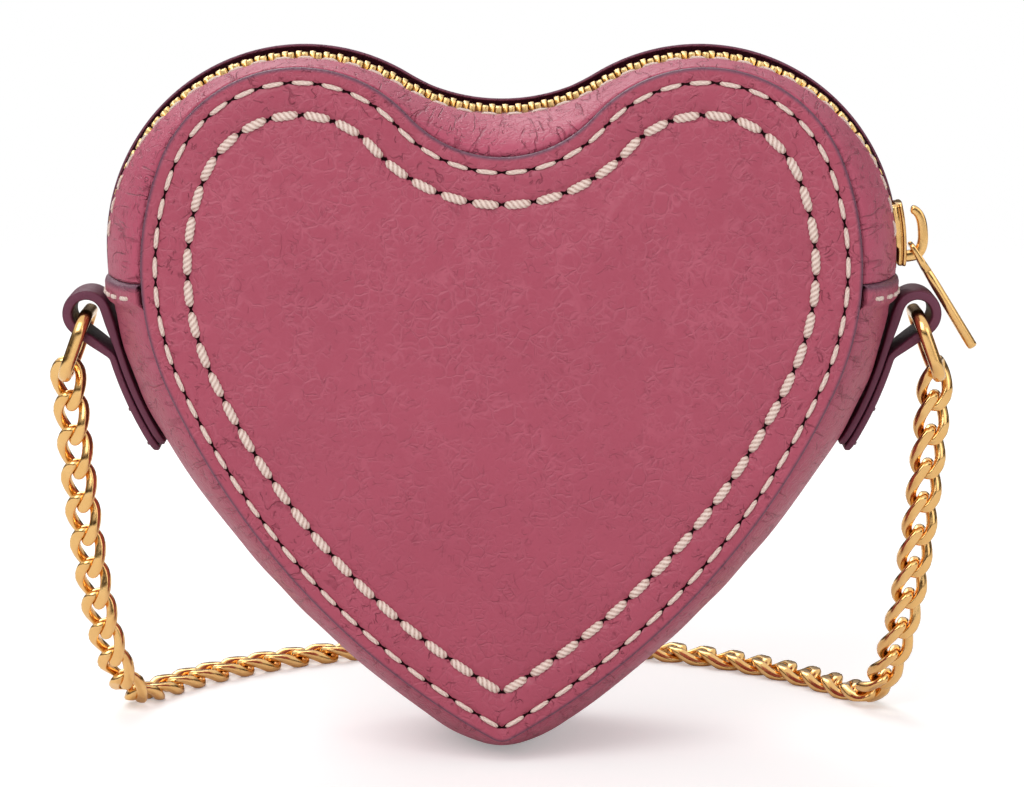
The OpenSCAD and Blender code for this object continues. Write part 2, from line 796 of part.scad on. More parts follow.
// Stitches across each tab, near its lower end
module tab_threads() {
  color(burgundy)
    for (half = [0, 1], row = tab_stitch_rows, i = [-1:1])
      mirror([half, 0, 0])
        translate([shoulder_centre[0], i * tab_w * tab_stitch_pitch_share, shoulder_centre[1]])
          rotate([0, -tab_end_angle - row / tab_outer_r * 180 / PI, 0])
            translate([tab_outer_r + fit_gap, 0, 0])
              rotate([0, 90, 0])
                rotate([0, 0, 90])
                  stitch(tab_stitch_l, seam_w, thread_t);
}

ring_wire_r = ring_wire_d / 2;
ring_top = loop_place + ring_drop * [sin(ring_lean), -cos(ring_lean)];
ring_bottom = ring_top + ring_h * [sin(ring_lean), -cos(ring_lean)];

module bent_wire(r, wire_r, from, turn) {
  rotate([0, 0, from])
    rotate_extrude(angle = turn)
      translate([r, 0])
        circle(wire_r, $fn = 32);
}

// A straight stretch is a hair thinner than the bends and runs a little way into them.
module straight_wire(wire_r, from, to) {
  way = to - from;
  translate([from[0], from[1], 0])
    rotate([0, 0, atan2(way[1], way[0])])
      translate([-wire_lap, 0, 0])
        rotate([0, 90, 0])
          cylinder(h = norm(way) + 2 * wire_lap, r = wire_r - wire_step, $fn = 32);
}

// A closed loop of wire in the XY plane, a rectangle with round corners
module wire_loop(length, width, corner_r, wire_r) {
  a = length / 2;
  b = width / 2;
  round_end = b <= corner_r;
  if (round_end)
    for (side = [-1, 1])
      translate([side * (a - corner_r), 0, 0])
        bent_wire(corner_r, wire_r, -90 * side, 180);
  else
    for (i = [0:3])
      translate([(i == 0 || i == 3 ? 1 : -1) * (a - corner_r), (i < 2 ? 1 : -1) * (b - corner_r), 0])
        bent_wire(corner_r, wire_r, i * 90, 90);
  for (side = [-1, 1]) {
    straight_wire(wire_r, [-(a - corner_r), side * b], [a - corner_r, side * b]);
    if (!round_end)
      straight_wire(wire_r, [side * a, -(b - corner_r)], [side * a, b - corner_r]);
  }
}

module end_ring() {
  translate([ring_top[0], 0, ring_top[1]])
    rotate([0, -ring_lean, 0])
      translate([0, 0, -ring_h / 2])
        rotate([90, 0, 90])
          wire_loop(ring_w, ring_h, ring_corner_r, ring_wire_r);
}

module left_end_ring() {
  color(gold) mirror([1, 0, 0]) end_ring();
}

module right_end_ring() {
  color(gold) end_ring();
}

// The chain hangs from each ring in a catenary that lands on the floor, then turns round
// behind the bag on an arc. The path is measured from the ring, and one link lies across its middle.
link_wire_r = link_wire_d / 2;
chain_floor_z = link_w / 2 * sin(45) + link_wire_r + floor_gap;
drop_top = [ring_bottom[0], 0, ring_bottom[1] + ring_wire_r + link_play / 2];
drop_run = norm([drop_top[0] - land_x, land_y]);
drop_fall = drop_top[2] - chain_floor_z;
drop_way = [land_x - drop_top[0], land_y] / drop_run;

function sinh(x) = (exp(x) - exp(-x)) / 2;
function cosh(x) = (exp(x) + exp(-x)) / 2;
function asinh(x) = ln(x + sqrt(x * x + 1));
function sag_scale(low, high, rounds) =
  let (a = (low + high) / 2)
  rounds == 0 ? a :
  a * (cosh(drop_run / a) - 1) > drop_fall ?
    sag_scale(a, high, rounds - 1) : sag_scale(low, a, rounds - 1);
sag = sag_scale(drop_run / 8, drop_run * 4, 40);
drop_l = sag * sinh(drop_run / sag);

arc_centre_y =
  (land_x * land_x + land_y * land_y - loop_back_y * loop_back_y) / (2 * (land_y - loop_back_y));
arc_r = loop_back_y - arc_centre_y;
land_angle = atan2(land_x, land_y - arc_centre_y);
floor_l = arc_r * land_angle * PI / 180;
half_links = round((drop_l + floor_l) / link_pitch - 0.5);
link_step = (drop_l + floor_l) / (half_links + 0.5);
drop_links = round(drop_l / link_step);

function chain_point(way) =
  way < drop_l ?
    let (left = drop_l - way, run = sag * asinh(left / sag), along = drop_run - run)
    [drop_top[0] + drop_way[0] * along, drop_way[1] * along,
     chain_floor_z + sqrt(sag * sag + left * left) - sag] :
  let (a = land_angle - (way - drop_l) / arc_r * 180 / PI)
  [arc_r * sin(a), arc_centre_y + arc_r * cos(a), chain_floor_z];

function unit(v) = v / norm(v);
function link_roll(k) = (k % 2 == 0 ? 0 : 90) - 45 * min(1, k / roll_links);

// Link k of one side joins two joints of the path. Its plane rolls by turns, so that links hook square.
module chain_link(k) {
  from = chain_point(k * link_step);
  to = chain_point((k + 1) * link_step);
  along = unit(to - from);
  wide = unit([along[1], -along[0], 0]);
  up = cross(along, wide);
  flat = wide * cos(link_roll(k)) + up * sin(link_roll(k));
  face = cross(along, flat);
  middle = (from + to) / 2;
  long = norm(to - from) + link_play + link_wire_d;
  multmatrix([
    [along[0], flat[0], face[0], middle[0]],
    [along[1], flat[1], face[1], middle[1]],
    [along[2], flat[2], face[2], middle[2]],
    [0, 0, 0, 1]
  ])
    wire_loop(long, link_w, link_w / 2, link_wire_r);
}

module link_pair(k) {
  chain_link(k);
  mirror([1, 0, 0]) chain_link(k);
}

module chain_links_first() {
  color(gold) link_pair(0);
}

module chain_links_second() {
  color(gold) link_pair(1);
}

module chain_links_third() {
  color(gold) link_pair(2);
}

module strap_right_drop() {
  color(gold)
    for (k = [separate_links:drop_links - 1])
      chain_link(k);
}

module strap_left_drop() {
  color(gold)
    for (k = [separate_links:drop_links - 1])
      mirror([1, 0, 0])
        chain_link(k);
}

module strap_floor_run() {
  color(gold)
    for (k = [drop_links:half_links - 1])
      link_pair(k);
  color(gold) chain_link(half_links);
}

module front_board() {
  color(board_grey) heart_slab(flange_w + board_gap, -edge_y, board_t);
}

module back_board() {
  color(board_grey) heart_slab(flange_w + board_gap, edge_y - board_t, board_t);
}

lining_y = inside_y - lining_gap;

module lining_front() {
  color(cloth) heart_slab(lining_inset, -lining_y, lining_t);
}

module lining_back() {
  color(cloth) heart_slab(lining_inset, lining_y - lining_t, lining_t);
}

lining_edge_y = lining_y - lining_t - lining_gap;
lining_depth = gusset_t + lining_gap;
lining_cut_y = tape_reach + lining_gap;

// The lining follows the flats of the gusset's inner face.
inner_flats = [for (y = dome_ys) if (abs(y) < edge_y) [kept_in(y, inside_y), dome(y)]];
lining_ys = concat([-lining_edge_y], [for (y = dome_ys) if (abs(y) < lining_edge_y) y], [lining_edge_y]);
lining_top_ys = [for (i = [0:lining_rows]) lining_edge_y + (lining_cut_y - lining_edge_y) * i / lining_rows];
function lining_places(ys, depth) = [for (y = ys) [y, lookup(y, inner_flats), -depth, 0, 0]];

module lining_gusset() {
  color(cloth)
    sheet([for (s = bottom_stations) if (s[3] == 0) s],
          lining_places(lining_ys, lining_depth),
          lining_places(lining_ys, lining_depth + lining_t));
}

module lining_top(side) {
  sheet(lining_stations,
        at_side(lining_places(lining_top_ys, lining_depth), side),
        at_side(lining_places(lining_top_ys, lining_depth + lining_t), side));
}

module lining_top_front() {
  color(cloth) lining_top(-1);
}

module lining_top_back() {
  color(cloth) lining_top(1);
}

module front_seam_thread() {
  color(cream)
    seam(seam_inset, seam_pitch, seam_w, channel_t, -half_depth + channel_t - fit_gap, -1);
}

module front_rope_thread() {
  color(cream)
    seam(rope_inset, rope_pitch, rope_w, channel_t + rope_rise, -half_depth + channel_t - fit_gap, -1);
}

module back_seam_thread() {
  color(cream)
    seam(seam_inset, seam_pitch, seam_w, channel_t - 2 * fit_gap, half_depth - channel_t + fit_gap, 1);
}

module back_rope_thread() {
  color(cream)
    seam(rope_inset, rope_pitch, rope_w, channel_t - 2 * fit_gap, half_depth - channel_t + fit_gap, 1);
}

// Fall of the dome's surface below the zip line
function fall_at(way, y) =
  let (
    h = crest_heading(way),
    n = heading_normal(h),
    swell = -nearest_way(arc_point(crest_arc(way), h, 0), n, panel_arcs)
  )
  swell * (1 - dome(y));

// Height over the zip line of a strip's flats, which run from row to row
strip_shares = [for (i = [strip_rows:-1:0]) [strip_y(i), lip_share(strip_y(i))]];
function strip_height(way, y, rise) =
  (lip_t - gusset_t + rise) * lookup(y, strip_shares) - fall_at(way, y);

module strip_seam(side) {
  y = lip_y + strip_seam_inset;
  lip_rise = side > 0 ? back_lip_rise : 0;
  reach = zip_half_l - strip_pitch / 2;
  count = round(2 * reach / strip_pitch);
  for (i = [0:count - 1]) {
    way = (i + 0.5 - count / 2) * 2 * reach / count;
    far = strip_height(abs(way), y + seam_w / 2, lip_rise);
    slope = (strip_height(abs(way), y - seam_w / 2, lip_rise) - far) / seam_w;
    on_crest(way)
      translate([0, side * y, thread_rise + strip_height(abs(way), y, lip_rise)])
        rotate([-side * atan(slope), 0, 0])
          stitch(strip_pitch * stitch_share, seam_w, thread_t);
  }
}

module zip_strip_threads() {
  color(cream) {
    strip_seam(-1);
    strip_seam(1);
  }
}

// Stitches across each folded end, along the dome
module fold_threads() {
  s = station(shoulder, shoulder_heading(fold_z - fold_seam_inset), fold_rise);
  reach = edge_y - fold_seam_margin;
  color(cream)
    for (half = [0, 1], i = [0:fold_stitches - 1]) {
      y_low = reach * (2 * i / fold_stitches - 1);
      y = reach * (2 * (i + 0.5) / fold_stitches - 1);
      y_high = reach * (2 * (i + 1) / fold_stitches - 1);
      p = place(s, [y, dome(y), thread_rise, 0, 1]);
      low = place(s, [y_low, dome(y_low), thread_rise, 0, 1]);
      high = place(s, [y_high, dome(y_high), thread_rise, 0, 1]);
      way = high - low;
      mirror([half, 0, 0])
        translate(p)
          rotate([0, -atan2(s[1][1], s[1][0]), 0])
            rotate([0, 0, -atan2(norm([way[0], way[2]]) * sign(way[0]), way[1])])
              rotate([0, 90, 0])
                rotate([0, 0, 90])
                  stitch(norm(way) * stitch_share, seam_w, thread_t);
    }
}

front_panel();
back_panel();
bottom_gusset();
zip_strip_front();
zip_strip_back();
zip_tape_front();
zip_tape_back();
zip_teeth_front();
zip_teeth_back();
zip_end_stops();
slider_top_plate();
slider_bottom_plate();
slider_bridge();
pull_tab();
left_tab_loop();
right_tab_loop();
tab_threads();
left_end_ring();
right_end_ring();
chain_links_first();
chain_links_second();
chain_links_third();
strap_left_drop();
strap_right_drop();
strap_floor_run();
front_board();
back_board();
lining_front();
lining_back();
lining_gusset();
lining_top_front();
lining_top_back();
front_seam_thread();
front_rope_thread();
back_seam_thread();
back_rope_thread();
zip_strip_threads();
fold_threads();
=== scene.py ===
"""Blender scene of a heart shaped leather purse with a zip over the top and a curb chain strap.

Sizes are millimetres, and meshes are written in metres in the frame's own axes:
+X is the right of the front view, +Y goes to the back, +Z is up.
"""

import logging
import math
from dataclasses import dataclass, field
from enum import Enum

import bmesh
import bpy
import numpy as np
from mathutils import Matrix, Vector

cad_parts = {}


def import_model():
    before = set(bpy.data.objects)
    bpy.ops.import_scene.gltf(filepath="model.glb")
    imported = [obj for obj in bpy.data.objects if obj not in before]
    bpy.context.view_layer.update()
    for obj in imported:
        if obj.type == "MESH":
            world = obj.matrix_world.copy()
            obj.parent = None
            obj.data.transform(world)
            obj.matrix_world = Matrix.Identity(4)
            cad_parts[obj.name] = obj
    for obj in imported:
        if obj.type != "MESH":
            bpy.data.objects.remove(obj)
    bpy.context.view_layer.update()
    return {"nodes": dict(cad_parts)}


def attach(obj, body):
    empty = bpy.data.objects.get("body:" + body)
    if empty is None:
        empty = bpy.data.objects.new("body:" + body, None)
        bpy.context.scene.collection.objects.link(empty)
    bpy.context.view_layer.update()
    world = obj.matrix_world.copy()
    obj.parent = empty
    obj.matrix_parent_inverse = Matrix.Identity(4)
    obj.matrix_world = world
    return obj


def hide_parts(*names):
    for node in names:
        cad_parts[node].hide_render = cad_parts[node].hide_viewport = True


Array = np.ndarray
Socket = bpy.types.NodeSocket

MM = 0.001
LOG = logging.getLogger("purse")
ACROSS = np.array([0.0, 1.0, 0.0])
FLIP = np.array([-1, 1, 1])
HANDS = (("left", -1), ("right", 1))

# Places that several pieces share: how far the folds and the tab loops lie below the lobes'
# centres, and where the zip strips' lips end across the depth.
FOLD_DROP = 3.84
LOOP_DROP = 11.24
LIP_Y = 4.5


class Side(Enum):
    """The two faces of the bag, with the sign of their Y."""

    FRONT = -1
    BACK = 1

    @property
    def word(self) -> str:
        """The side's name as the nodes spell it."""
        return self.name.lower()


# Finishes


def linear(code: str) -> tuple[float, float, float, float]:
    """Returns the linear colour of an sRGB hex code, as shader sockets take it."""
    parts = [int(code[i : i + 2], 16) / 255 for i in (1, 3, 5)]
    return (*[c / 12.92 if c <= 0.04045 else ((c + 0.055) / 1.055) ** 2.4 for c in parts], 1.0)


class Graph:
    """The node tree of one material or of the world."""

    def __init__(self, tree: bpy.types.NodeTree) -> None:
        """Starts from an empty tree."""
        self.tree = tree
        tree.nodes.clear()

    def add(self, kind: str, inputs: dict | None = None, output: int | str = 0, **settings: object) -> Socket:
        """Adds one node.

        Args:
            kind: The node type's name without its ShaderNode prefix.
            inputs: Values, or output sockets to link, by the name or place of an input.
            output: The name or place of the output that is wanted.
            settings: Properties of the node.

        Returns:
            The wanted output socket, or the node itself where it has no output.
        """
        node = self.tree.nodes.new("ShaderNode" + kind)
        for key, value in settings.items():
            setattr(node, key, value)
        for key, value in (inputs or {}).items():
            if isinstance(value, Socket):
                self.tree.links.new(value, node.inputs[key])
            else:
                node.inputs[key].default_value = value
        return node.outputs[output] if len(node.outputs) else node

    def math(self, operation: str, *values: Socket | float, **settings: object) -> Socket:
        """Returns the result of a sum on up to three values."""
        return self.add("Math", dict(enumerate(values)), operation=operation, **settings)

    def ramp(
        self, value: Socket, start: float, end: float, low: float, high: float, kind: str = "SMOOTHSTEP"
    ) -> Socket:
        """Returns a step from low to high while a value goes from start to end."""
        return self.add("MapRange", {0: value, 1: start, 2: end, 3: low, 4: high}, interpolation_type=kind)

    def noise(
        self, vector: Socket, size: float, detail: float, distortion: float = 0.0, output: int | str = 0
    ) -> Socket:
        """Returns noise whose swellings have a size in the vector's own unit."""
        inputs = {"Vector": vector, "Scale": 1 / size, "Detail": detail, "Distortion": distortion}
        return self.add("TexNoise", inputs, output)

    def mix(self, share: Socket, first: Socket | str, second: Socket | str) -> Socket:
        """Returns a blend of two colours, each a socket or an sRGB hex code."""
        pair = [linear(colour) if isinstance(colour, str) else colour for colour in (first, second)]
        return self.add("Mix", {0: share, 6: pair[0], 7: pair[1]}, 2, data_type="RGBA")

    def bump(self, height: Socket, strength: float, depth: float) -> Socket:
        """Returns normals bent by a height, whose depth is in mm."""
        return self.add("Bump", {"Strength": strength, "Distance": depth * MM, "Height": height})

    def own(self, name: str, axis: str) -> Socket:
        """Returns one axis of an attribute that the pieces carry."""
        return self.add("SeparateXYZ", {0: self.add("Attribute", output="Vector", attribute_name=name)}, axis)

    def contour(self, vector: Socket, size: float, distortion: float, wide: float) -> Socket:
        """Returns thin lines, 1 along the middle height of a noise and 0 beside it."""
        off = self.math("ADD", self.noise(vector, size, 2.5, distortion), -0.5)
        return self.ramp(self.math("ABSOLUTE", off), 0.0, wide, 1.0, 0.0)


@dataclass(frozen=True)
class Leather:
    """A tumbled leather: its colours, the size of its grain in mm, and how it takes light.

    A net of fine grooves breaks the highlight into the small facets that the eye reads as full
    grain leather, and its lines carry a painted highlight. Over it lie short creases in patches,
    as where a hide was tumbled, and the creases and the wrinkles carry painted shade. It reads
    three attributes. In "place", X counts the fine stitches, Y is the way in from the edge in mm
    and Z counts the rope stitches. In "cut", X is 1 on painted edges and Y on the flesh side,
    whose dark colour is painted shade. "run" follows the gusset round the bag, for wrinkles across it.
    """

    name: str
    colour: str
    # Painted shade in the creases and the wrinkles.
    crease_shade: str
    groove_highlight: str
    paint: str = "#6a4053"
    # The flesh side's dark colour is painted shade.
    shaded_flesh: str = "#4a2031"
    # Painted shade inside the needle holes.
    hole: str = "#1c090c"
    cell: float = 2.6
    crease: float = 0.48
    pore: float = 0.35
    swell: float = 5.0
    tone: float = 22.0
    highlight_z: tuple[float, float] = (30.0, 80.0)
    border: tuple[float, float] = (7.0, 12.0)
    grain_depth: float = 0.13
    wrinkle: float = 0.0
    roughness: float = 0.4
    shine: float = 0.3
    coat: float = 0.04

    def shader(self, g: Graph) -> Socket:
        """Builds the leather: its relief, then its colours from the skin up to the cut edges, with painted
        highlight and painted shade.

        Args:
            g: The material's graph.

        Returns:
            The surface shader.
        """
        place = g.add("TexCoord", output="Object")
        net, crease, wrinkle = self.net(g, place), self.creases(g, place), self.wrinkles(g)
        pores = g.noise(place, self.pore * MM, 2.0)
        swell = g.noise(place, self.swell * MM, 2.0)
        level = 0.0
        for part, high in ((net, -1.0), (pores, 0.25), (swell, 1.6), (crease, -1.2), (wrinkle, -1.6)):
            level = g.math("MULTIPLY_ADD", part, high, level)

        # The net is painted pale as a highlight, more in the upper half of the bag, where more light falls.
        height = g.add("SeparateXYZ", {0: place}, "Z")
        highlight_share = g.ramp(height, self.highlight_z[0] * MM, self.highlight_z[1] * MM, 0.18, 0.5)
        groove_highlight = g.math("MULTIPLY", net, highlight_share)
        # A random darker tone, plus painted shade in the creases and the wrinkles.
        tone_and_shade = g.ramp(g.noise(place, self.tone * MM, 3.0), 0.35, 0.65, 0.0, 0.1, "LINEAR")
        tone_and_shade = g.math("MULTIPLY_ADD", crease, self.crease, tone_and_shade)
        tone_and_shade = g.math("MULTIPLY_ADD", wrinkle, self.crease, tone_and_shade, use_clamp=True)
        # The needle holes are painted near black, as the shade inside them.
        hole = self.stitch_hole_shade(g)
        skin = g.mix(groove_highlight, self.colour, self.groove_highlight)
        for share, colour in (
            (tone_and_shade, self.crease_shade),
            (hole, self.hole),
            (g.own("cut", "X"), self.paint),
            (g.own("cut", "Y"), self.shaded_flesh),
        ):
            skin = g.mix(share, skin, colour)
        finish = {
            "Base Color": skin,
            "Roughness": g.ramp(net, 0.0, 1.0, self.roughness, self.roughness + 0.1, "LINEAR"),
            "Normal": g.bump(level, 1.0, self.grain_depth),
            "Specular IOR Level": g.ramp(hole, 0.0, 1.0, self.shine, 0.0, "LINEAR"),
            "Coat Weight": self.coat,
            "Coat Roughness": 0.3,
        }
        return g.add("BsdfPrincipled", finish)

    def net(self, g: Graph, place: Socket) -> Socket:
        """Draws the grain: the edges of warped cells, large and small, faded in patches.

        Args:
            g: The material's graph.
            place: The coordinates.

        Returns:
            A mask that is 1 in the grooves.
        """
        nets = []
        for cell, depth, thin in ((self.cell * MM, 1.0, 0.13), (0.5 * self.cell * MM, 0.6, 0.2)):
            warp = g.noise(place, 1.1 * cell, 2.0, output="Color")
            shift = g.add("VectorMath", {0: warp, "Scale": 0.9 * cell}, operation="SCALE")
            bent = g.add("VectorMath", {0: place, 1: shift}, operation="ADD")
            cells = g.add("TexVoronoi", {"Vector": bent, "Scale": 1 / cell}, feature="DISTANCE_TO_EDGE")
            groove = g.ramp(cells, 0.0, thin, depth, 0.0)
            shown = g.ramp(g.noise(place, 2.2 * cell, 2.0), 0.38, 0.6, 0.15, 1.0)
            nets.append(g.math("MULTIPLY", groove, shown))
        return g.math("MAXIMUM", *nets)

    def creases(self, g: Graph, place: Socket) -> Socket:
        """Draws short torn creases of two sizes, strongest in the border outside the rope row.

        Args:
            g: The material's graph.
            place: The coordinates.

        Returns:
            A mask that is 1 in the creases.
        """
        lines = []
        for size, wide in ((5.5 * MM, 0.018), (3.2 * MM, 0.024)):
            torn = g.ramp(g.noise(place, 0.55 * size, 1.0), 0.54, 0.66, 0.0, 1.0)
            lines.append(g.math("MULTIPLY", g.contour(place, size, 0.6, wide), torn))
        border = g.ramp(g.own("place", "Y"), *self.border, 1.0, 0.45)
        return g.math("MULTIPLY", g.math("MAXIMUM", *lines), border)

    def wrinkles(self, g: Graph) -> Socket:
        """Draws wrinkles across the gusset, long in Y and bunched along the run.

        Args:
            g: The material's graph.

        Returns:
            A mask as strong as the leather's wrinkle value.
        """
        run = g.add("Attribute", output="Vector", attribute_name="run")
        across = g.add("VectorMath", {0: run, 1: (1.0, 0.22, 1.0)}, operation="MULTIPLY")
        there = g.ramp(g.noise(across, 2.0, 1.0), 0.45, 0.6, 0.0, self.wrinkle)
        return g.math("MULTIPLY", g.contour(across, 2.6, 0.5, 0.045), there)

    def stitch_hole_shade(self, g: Graph) -> Socket:
        """Draws the needle holes between stitches as painted shade, narrow where the thread dives.

        Args:
            g: The material's graph.

        Returns:
            A mask that is 1 in the holes.
        """
        masks = []
        for axis, row in (("X", FINE_ROW), ("Z", ROPE_ROW)):
            near = g.math("PINGPONG", g.own("place", axis), 1.0)
            odd = g.math("ABSOLUTE", g.math("ADD", near, -1.0))
            along = g.math("MULTIPLY", g.math("MINIMUM", near, odd), row.pitch / row.hole_l)
            wide = g.math("MULTIPLY_ADD", along, 0.75 * row.hole_w, 0.45 * row.hole_w)
            side = g.math("ABSOLUTE", g.math("ADD", g.own("place", "Y"), -row.inset))
            size = g.math("MAXIMUM", along, g.math("DIVIDE", side, wide))
            masks.append(g.ramp(size, 0.8, 1.1, 1.0, 0.0))
        return g.math("MAXIMUM", *masks)


@dataclass(frozen=True)
class Metal:
    """Plated gold with faint buffing marks, which keep its reflections from looking like glass."""

    name: str
    colour: str
    shade: str
    roughness: float = 0.17

    def shader(self, g: Graph) -> Socket:
        """Builds the metal: clouds of colour, and fine marks in its polish.

        Args:
            g: The material's graph.

        Returns:
            The surface shader.
        """
        place = g.add("TexCoord", output="Object")
        buff = g.noise(place, 0.5 * MM, 4.0)
        finish = {
            "Base Color": g.mix(g.noise(place, 3 * MM, 3.0), self.colour, self.shade),
            "Metallic": 1.0,
            "Roughness": g.ramp(buff, 0.3, 0.7, self.roughness - 0.05, self.roughness + 0.08, "LINEAR"),
            "Normal": g.bump(buff, 0.25, 0.02),
        }
        return g.add("BsdfPrincipled", finish)


@dataclass(frozen=True)
class Thread:
    """Waxed thread: the attribute "strand" is 1 on a strand's back and 0 in the groove beside it, whose
    colour is painted shade.
    """

    name: str
    colour: str
    # Painted shade in the grooves between strands.
    groove: str
    fibre: float = 0.12

    def shader(self, g: Graph) -> Socket:
        """Builds the thread: fuzz over strands, with painted shade in their grooves.

        Args:
            g: The material's graph.

        Returns:
            The surface shader.
        """
        strand = g.add("Attribute", output="Fac", attribute_name="strand")
        fuzz = g.noise(g.add("TexCoord", output="Object"), self.fibre * MM, 3.0)
        lit = g.math("ADD", strand, g.ramp(fuzz, 0.3, 0.7, -0.12, 0.12, "LINEAR"), use_clamp=True)
        finish = {
            "Base Color": g.mix(lit, self.groove, self.colour),
            "Roughness": 0.62,
            "Normal": g.bump(fuzz, 0.6, 0.05),
            "Sheen Weight": 0.2,
        }
        return g.add("BsdfPrincipled", finish)


@dataclass(frozen=True)
class Woven:
    """A plain weave with its pitch in mm: two crossed sets of threads, with painted shade in the gaps."""

    name: str
    colour: str
    gap: str
    pitch: float = 0.5

    def shader(self, g: Graph) -> Socket:
        """Builds the cloth from two waves across each other.

        Args:
            g: The material's graph.

        Returns:
            The surface shader.
        """
        place = g.add("TexCoord", output="Object")
        turned = g.add("Mapping", {"Vector": place, "Rotation": (0.4, 0.3, 0.6)})
        wave = {"Vector": turned, "Scale": 0.32 / (self.pitch * MM), "Distortion": 0.6}
        cloth = g.math("MULTIPLY", *[g.add("TexWave", wave, bands_direction=way) for way in "XY"])
        finish = {
            # The gaps between threads are painted dark as shade.
            "Base Color": g.mix(cloth, self.gap, self.colour),
            "Roughness": 0.8,
            "Normal": g.bump(cloth, 0.7, 0.1),
            "Sheen Weight": 0.3,
        }
        return g.add("BsdfPrincipled", finish)


@dataclass(frozen=True)
class FloorPaper:
    """Pale paper that glows a little for the camera, and fades out between two distances in m."""

    name: str = "floor_paper"
    colour: str = "#efeeed"
    glow: float = 0.3
    fade: tuple[float, float] = (0.3, 0.8)

    def shader(self, g: Graph) -> Socket:
        """Builds the paper, which keeps the soft shadow close to the bag only.

        Args:
            g: The material's graph.

        Returns:
            The surface shader.
        """
        camera = g.add("LightPath", output="Is Camera Ray")
        finish = {
            "Base Color": linear(self.colour),
            "Roughness": 0.9,
            "Emission Color": linear("#ffffff"),
            "Emission Strength": g.math("MULTIPLY", camera, self.glow),
        }
        paper = g.add("BsdfPrincipled", finish)
        place = g.add("TexCoord", output="Object")
        far = g.add("VectorMath", {0: place}, "Value", operation="LENGTH")
        clear = g.add("BsdfTransparent")
        return g.add("MixShader", {0: g.ramp(far, *self.fade, 0.0, 1.0), 1: paper, 2: clear})


Finish = Leather | Metal | Thread | Woven | FloorPaper


def material(finish: Finish) -> bpy.types.Material:
    """Gives the material of a finish, which is made on its first use.

    Args:
        finish: The finish.

    Returns:
        Its material.
    """
    made = bpy.data.materials.get(finish.name)
    if made is None:
        made = bpy.data.materials.new(finish.name)
        made.use_nodes = True
        graph = Graph(made.node_tree)
        graph.add("OutputMaterial", {"Surface": finish.shader(graph)})
    return made


# Meshes


@dataclass
class Shape:
    """Points in mm, faces as lists of point numbers, and values that the materials read."""

    points: Array
    faces: list
    values: dict[str, Array] = field(default_factory=dict)

    def joined(self, other: "Shape") -> "Shape":
        """Joins two shapes; values that only one has are zero on the other.

        Args:
            other: The second shape.

        Returns:
            Both as one.
        """
        values = {}
        for key in {*self.values, *other.values}:
            width = self.values.get(key, other.values.get(key)).shape[1]
            parts = [s.values.get(key, np.zeros((len(s.points), width))) for s in (self, other)]
            values[key] = np.vstack(parts)
        faces = self.faces + [[i + len(self.points) for i in face] for face in other.faces]
        return Shape(np.vstack([self.points, other.points]), faces, values)


def vec(x: Array | float, y: Array | float, z: Array | float) -> Array:
    """Returns three coordinates, spread to one shape, along a new last axis."""
    return np.stack(np.broadcast_arrays(x, y, z), -1)


def unit(vectors: Array) -> Array:
    """Returns vectors at length one."""
    return vectors / np.linalg.norm(vectors, axis=-1, keepdims=True)


def smooth(share: Array) -> Array:
    """Returns a smooth step: three squares less two cubes of a share between 0 and 1."""
    share = np.clip(share, 0, 1)
    return share * share * (3 - 2 * share)


def eased(value: Array, power: float) -> Array:
    """Returns a power of a value's size, with the value's sign."""
    return np.sign(value) * np.abs(value) ** power


def circle(angle: Array | float) -> Array:
    """Returns points on the circle of radius one."""
    return np.stack([np.cos(angle), np.sin(angle)], -1)


def quarter_edge(share: Array, least: float = 0.0) -> Array:
    """Returns a quarter circle's height over a share of its run; its square keeps to a least value."""
    return np.sqrt(np.clip(1 - (1 - np.clip(share, 0, 1)) ** 2, least, 1))


def ways(line: Array) -> Array:
    """Returns the way along a line of points at each of them."""
    return np.concatenate([[0.0], np.cumsum(np.hypot(*np.diff(line, axis=0).T))])


def evenly(line: Array, count: int, closed: bool = False) -> tuple[Array, Array]:
    """Spaces points evenly along a line.

    Args:
        line: The line's points, as two columns.
        count: How many points are wanted.
        closed: Whether the line goes on from its last point to its first.

    Returns:
        The points, and their ways along the line.
    """
    if closed:
        line = np.vstack([line, line[:1]])
    way = ways(line)
    even = np.linspace(0, way[-1], count, endpoint=not closed)
    return np.stack([np.interp(even, way, column) for column in line.T], -1), even


def superellipse(half_x: float, half_y: float, power: float, count: int) -> Array:
    """Returns points of a rounded rectangle: X and Y are powers of cosine and sine below one."""
    angle = np.linspace(0, 2 * np.pi, count, endpoint=False)
    return eased(circle(angle), 2 / power) * [half_x, half_y]


def sweep(path: Array, section: Array, side: Array, out: Array) -> Array:
    """Carries a section along a path: each point is the path's, plus X sides and Y outs.

    Args:
        path: The path's points.
        section: The section's points, as X and Y.
        side: What one unit of the section's X is, at each point of the path.
        out: What one unit of its Y is.

    Returns:
        One ring of points for each point of the path.
    """
    side, out = (np.broadcast_to(v, path.shape)[:, None, :] for v in (side, out))
    return path[:, None, :] + section[None, :, :1] * side + section[None, :, 1:] * out


def pinched(grid: Array) -> Array:
    """Closes a grid of loops at both ends.

    Each loop runs out along one skin and back along the other, so its last point faces its
    first. A row is added at each end in which facing points meet half way.

    Args:
        grid: The loops.

    Returns:
        The grid with both rows added.
    """
    ends = [(grid[k] + grid[k][::-1]) / 2 for k in (0, -1)]
    return np.concatenate([ends[:1], grid, ends[1:]])


